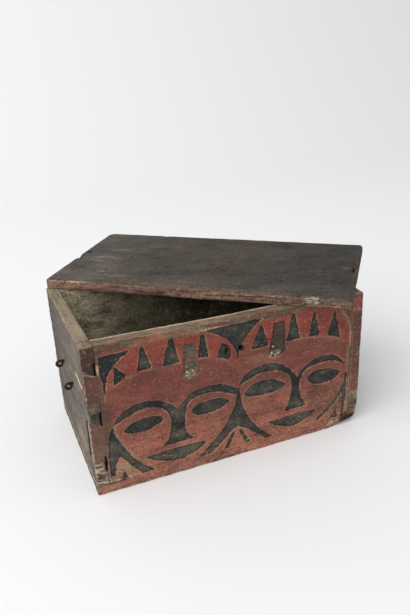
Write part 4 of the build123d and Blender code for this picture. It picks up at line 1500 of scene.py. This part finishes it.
def becket_eye(side, place, seed):
    """One eye: a wire that comes out of the end board, turns round in a ring and is clinched inside."""
    node = f"{side}_{place}_eye"
    low, high = extent(node)
    outward, wall, tip = (-1, left_low[0], low[0]) if side == "left" else (1, right_high[0], high[0])
    inner_wall = wall - outward * end_thickness
    middle_y = (low[1] + high[1]) / 2
    ring_x, ring_z = tip - outward * RING_OUTER, low[2] + RING_OUTER
    radius = RING_OUTER - RING_WIRE
    shank_z = ring_z + RING_HANG
    start = pi - np.arcsin(RING_HANG / radius)
    ring = []
    for a in np.linspace(start, start - RING_TURN, RING_POINTS):
        drift = 0.9 * (start - a) / (2 * pi) - 0.3
        ring.append((ring_x + outward * radius * cos(a), middle_y + drift, ring_z + radius * sin(a)))
    along = np.linspace(inner_wall - outward * 0.5, ring[0][0] - outward * 1.2, SHANK_POINTS)
    wire = [(x, middle_y, shank_z) for x in along] + ring
    uneven = RING_WIRE * (1 + 0.10 * np.sin(np.linspace(seed, seed + 9, RING_POINTS)))
    wire_radii = np.append(np.full(SHANK_POINTS, SHANK_RADIUS), uneven)
    wire_radii[-1] *= 0.6
    leg_x = inner_wall - outward * LEG_RADIUS
    leg = curve_through([
        (leg_x, middle_y, shank_z - 0.9),
        (leg_x - outward * 0.5, middle_y, shank_z + 3.0),
        (leg_x, middle_y, shank_z + 6.5),
        (leg_x + outward * 0.4, middle_y, high[2] - 0.8),
    ], steps=4)
    bumps = (2.2, 0.14, seed)
    parts = [tube(wire, wire_radii, 14, bumps), tube(leg, np.linspace(LEG_RADIUS, 0.9, len(leg)), 14, bumps)]
    metal_piece(f"{node}_forged", node, parts, iron)


for number, (side, place) in enumerate([(s, p) for s in ("left", "right") for p in ("front", "rear")]):
    becket_eye(side, place, 600 + number)


def nails(node, places, ways, material, radius, height, depth):
    """A group of worn nails in place of the CAD ones, with heads of this radius and height."""
    parts = [dome(p, w, radius, height, depth, 700 + n) for n, (p, w) in enumerate(zip(places, ways))]
    metal_piece(f"{node}_worn", node, parts, material)


NAIL_INSET = 8.5
left_column, right_column = front_low[0] + NAIL_INSET, front_high[0] - NAIL_INSET
corner_places = [
    (nail_x, y, (low + high) / 2)
    for spans, nail_x in ((left_long_spans, left_column), (right_long_spans, right_column))
    for low, high in spans
    for y in (front_low[1] + 0.9, back_high[1] - 0.9)
]
corner_ways = [(0, -1, 0), (0, 1, 0)] * (len(corner_places) // 2)
nails("corner_nails", corner_places, corner_ways, nail_iron, radius=1.9, height=0.5, depth=37)

BOTTOM_MARGIN = 60
NAIL_LIFT = 0.8
walls_x = np.linspace(front_low[0] + BOTTOM_MARGIN, front_high[0] - BOTTOM_MARGIN, 4)
walls_y = np.linspace(front_low[1] + BOTTOM_MARGIN, back_high[1] - BOTTOM_MARGIN, 2)
wall_lines = (front_low[1] + front_thickness / 2, back_high[1] - back_thickness / 2)
end_lines = (left_low[0] + end_thickness / 2, right_high[0] - end_thickness / 2)
bottom_places = [(x, y, NAIL_LIFT) for y in wall_lines for x in walls_x]
bottom_places += [(x, y, NAIL_LIFT) for x in end_lines for y in walls_y]
bottom_ways = [(0, 0, -1)] * len(bottom_places)
nails("bottom_nails", bottom_places, bottom_ways, nail_iron, radius=2.3, height=0.5, depth=36)

middle_x, _, middle_z = sum(extent("front_nail")) / 2
front_place = (middle_x, front_low[1] - 0.2, middle_z)
nails("front_nail", [front_place], [(0, -1, 0)], front_nail_iron, radius=2.3, height=0.55, depth=11)

# Broken staple legs and torn splinters: from left, height, radius and length
STUBS = (
    (133, 158, 1.6, 4.2), (132, 151, 2.2, 4.0), (136.5, 147.5, 1.8, 3.4), (141.5, 150.5, 1.7, 3.6),
    (131.5, 145.5, 1.7, 2.6), (259, 158, 1.9, 5.0), (255.5, 149, 2.3, 4.6), (261, 144.5, 1.9, 3.2),
    (267, 146.5, 1.9, 4.4), (254, 145.5, 1.7, 2.6),
)
STUB_TAPER = np.array([0.6, 0.8, 0.95, 1.0, 0.9, 0.7, 0.35])


def stub(number, from_left, height, radius, length):
    """One broken leg or chip at the foot of a hasp seat, leaning to a side of its own."""
    x = front_low[0] + from_left
    lean = 0.5 * sin(2.1 * number)
    path = [
        (x + lean * length * t, front_low[1] + 6 - 5.4 * t**0.8, height + length * (t - 0.5) * 0.9)
        for t in np.linspace(0, 1, len(STUB_TAPER))
    ]
    return tube(path, radius * STUB_TAPER, 10, (1.3, 0.45, 800 + number))


stubs = [stub(number, *sizes) for number, sizes in enumerate(STUBS)]
metal_piece("staple_stubs_torn", "staple_stubs", stubs, stub_metal)


# ---------------------------------------------------------------- floor, light and camera


def studio_paper():
    """A pale floor that curves up into a backdrop behind the box."""
    near, far, wall, radius, half_width = -2.6, 1.5, 3.2, 1.6, 4.0
    profile = [(near, 0.0), (far, 0.0)]
    profile += [(far + radius * sin(a), radius - radius * cos(a)) for a in np.linspace(0.08, pi / 2, 20)]
    profile += [(far + radius, wall)]
    points = [(side * half_width, y, z) for y, z in profile for side in (-1, 1)]
    faces = [(2 * k, 2 * k + 1, 2 * k + 3, 2 * k + 2) for k in range(len(profile) - 1)]
    mesh = bpy.data.meshes.new("studio_paper")
    mesh.from_pydata(points, [], faces)
    mesh.polygons.foreach_set("use_smooth", np.ones(len(faces), bool))
    paper = bpy.data.objects.new("studio_paper", mesh)
    bpy.context.scene.collection.objects.link(paper)
    shader = Shader("studio_paper")
    shader.coat({"Base Color": (0.88, 0.88, 0.885, 1), "Roughness": 0.9, "Specular IOR Level": 0.1})
    mesh.materials.append(shader.material)


LAMP_PLACE = Vector((-3.4, -1.7, 3.7))
LAMP_TARGET = Vector((0, 0, 0.1))


def light_studio():
    """An even pale world with a large soft lamp from the upper left."""
    world = bpy.data.worlds.new("studio")
    world.use_nodes = True
    world.node_tree.nodes["Background"].inputs["Color"].default_value = (1, 1, 1, 1)
    world.node_tree.nodes["Background"].inputs["Strength"].default_value = 0.60
    bpy.context.scene.world = world
    data = bpy.data.lights.new("key_lamp", "AREA")
    data.size = 5.0
    data.energy = 230
    lamp = bpy.data.objects.new("key_lamp", data)
    lamp.location = LAMP_PLACE
    lamp.rotation_euler = (LAMP_TARGET - LAMP_PLACE).to_track_quat("-Z", "Y").to_euler()
    bpy.context.scene.collection.objects.link(lamp)


CAMERA_AZIMUTH = radians(-21.563)
CAMERA_ELEVATION = radians(23.41)
CAMERA_ROLL = radians(-2.618)
CAMERA_PLACE = (-0.3000, -0.7794, 0.5440)
CAMERA_LENS = 36.45


def place_camera():
    """The camera at the photograph's angle, for a 410 by 615 frame, whose size is not set here."""
    data = bpy.data.cameras.new("camera")
    data.sensor_width = 36
    data.lens = CAMERA_LENS
    camera = bpy.data.objects.new("camera", data)
    turn = Matrix.Rotation(CAMERA_AZIMUTH, 4, "Z") @ Matrix.Rotation(pi / 2 - CAMERA_ELEVATION, 4, "X")
    camera.matrix_world = Matrix.Translation(CAMERA_PLACE) @ turn @ Matrix.Rotation(CAMERA_ROLL, 4, "Z")
    bpy.context.scene.collection.objects.link(camera)
    bpy.context.scene.camera = camera


studio_paper()
light_studio()
place_camera()
bpy.context.scene.view_settings.view_transform = "Standard"
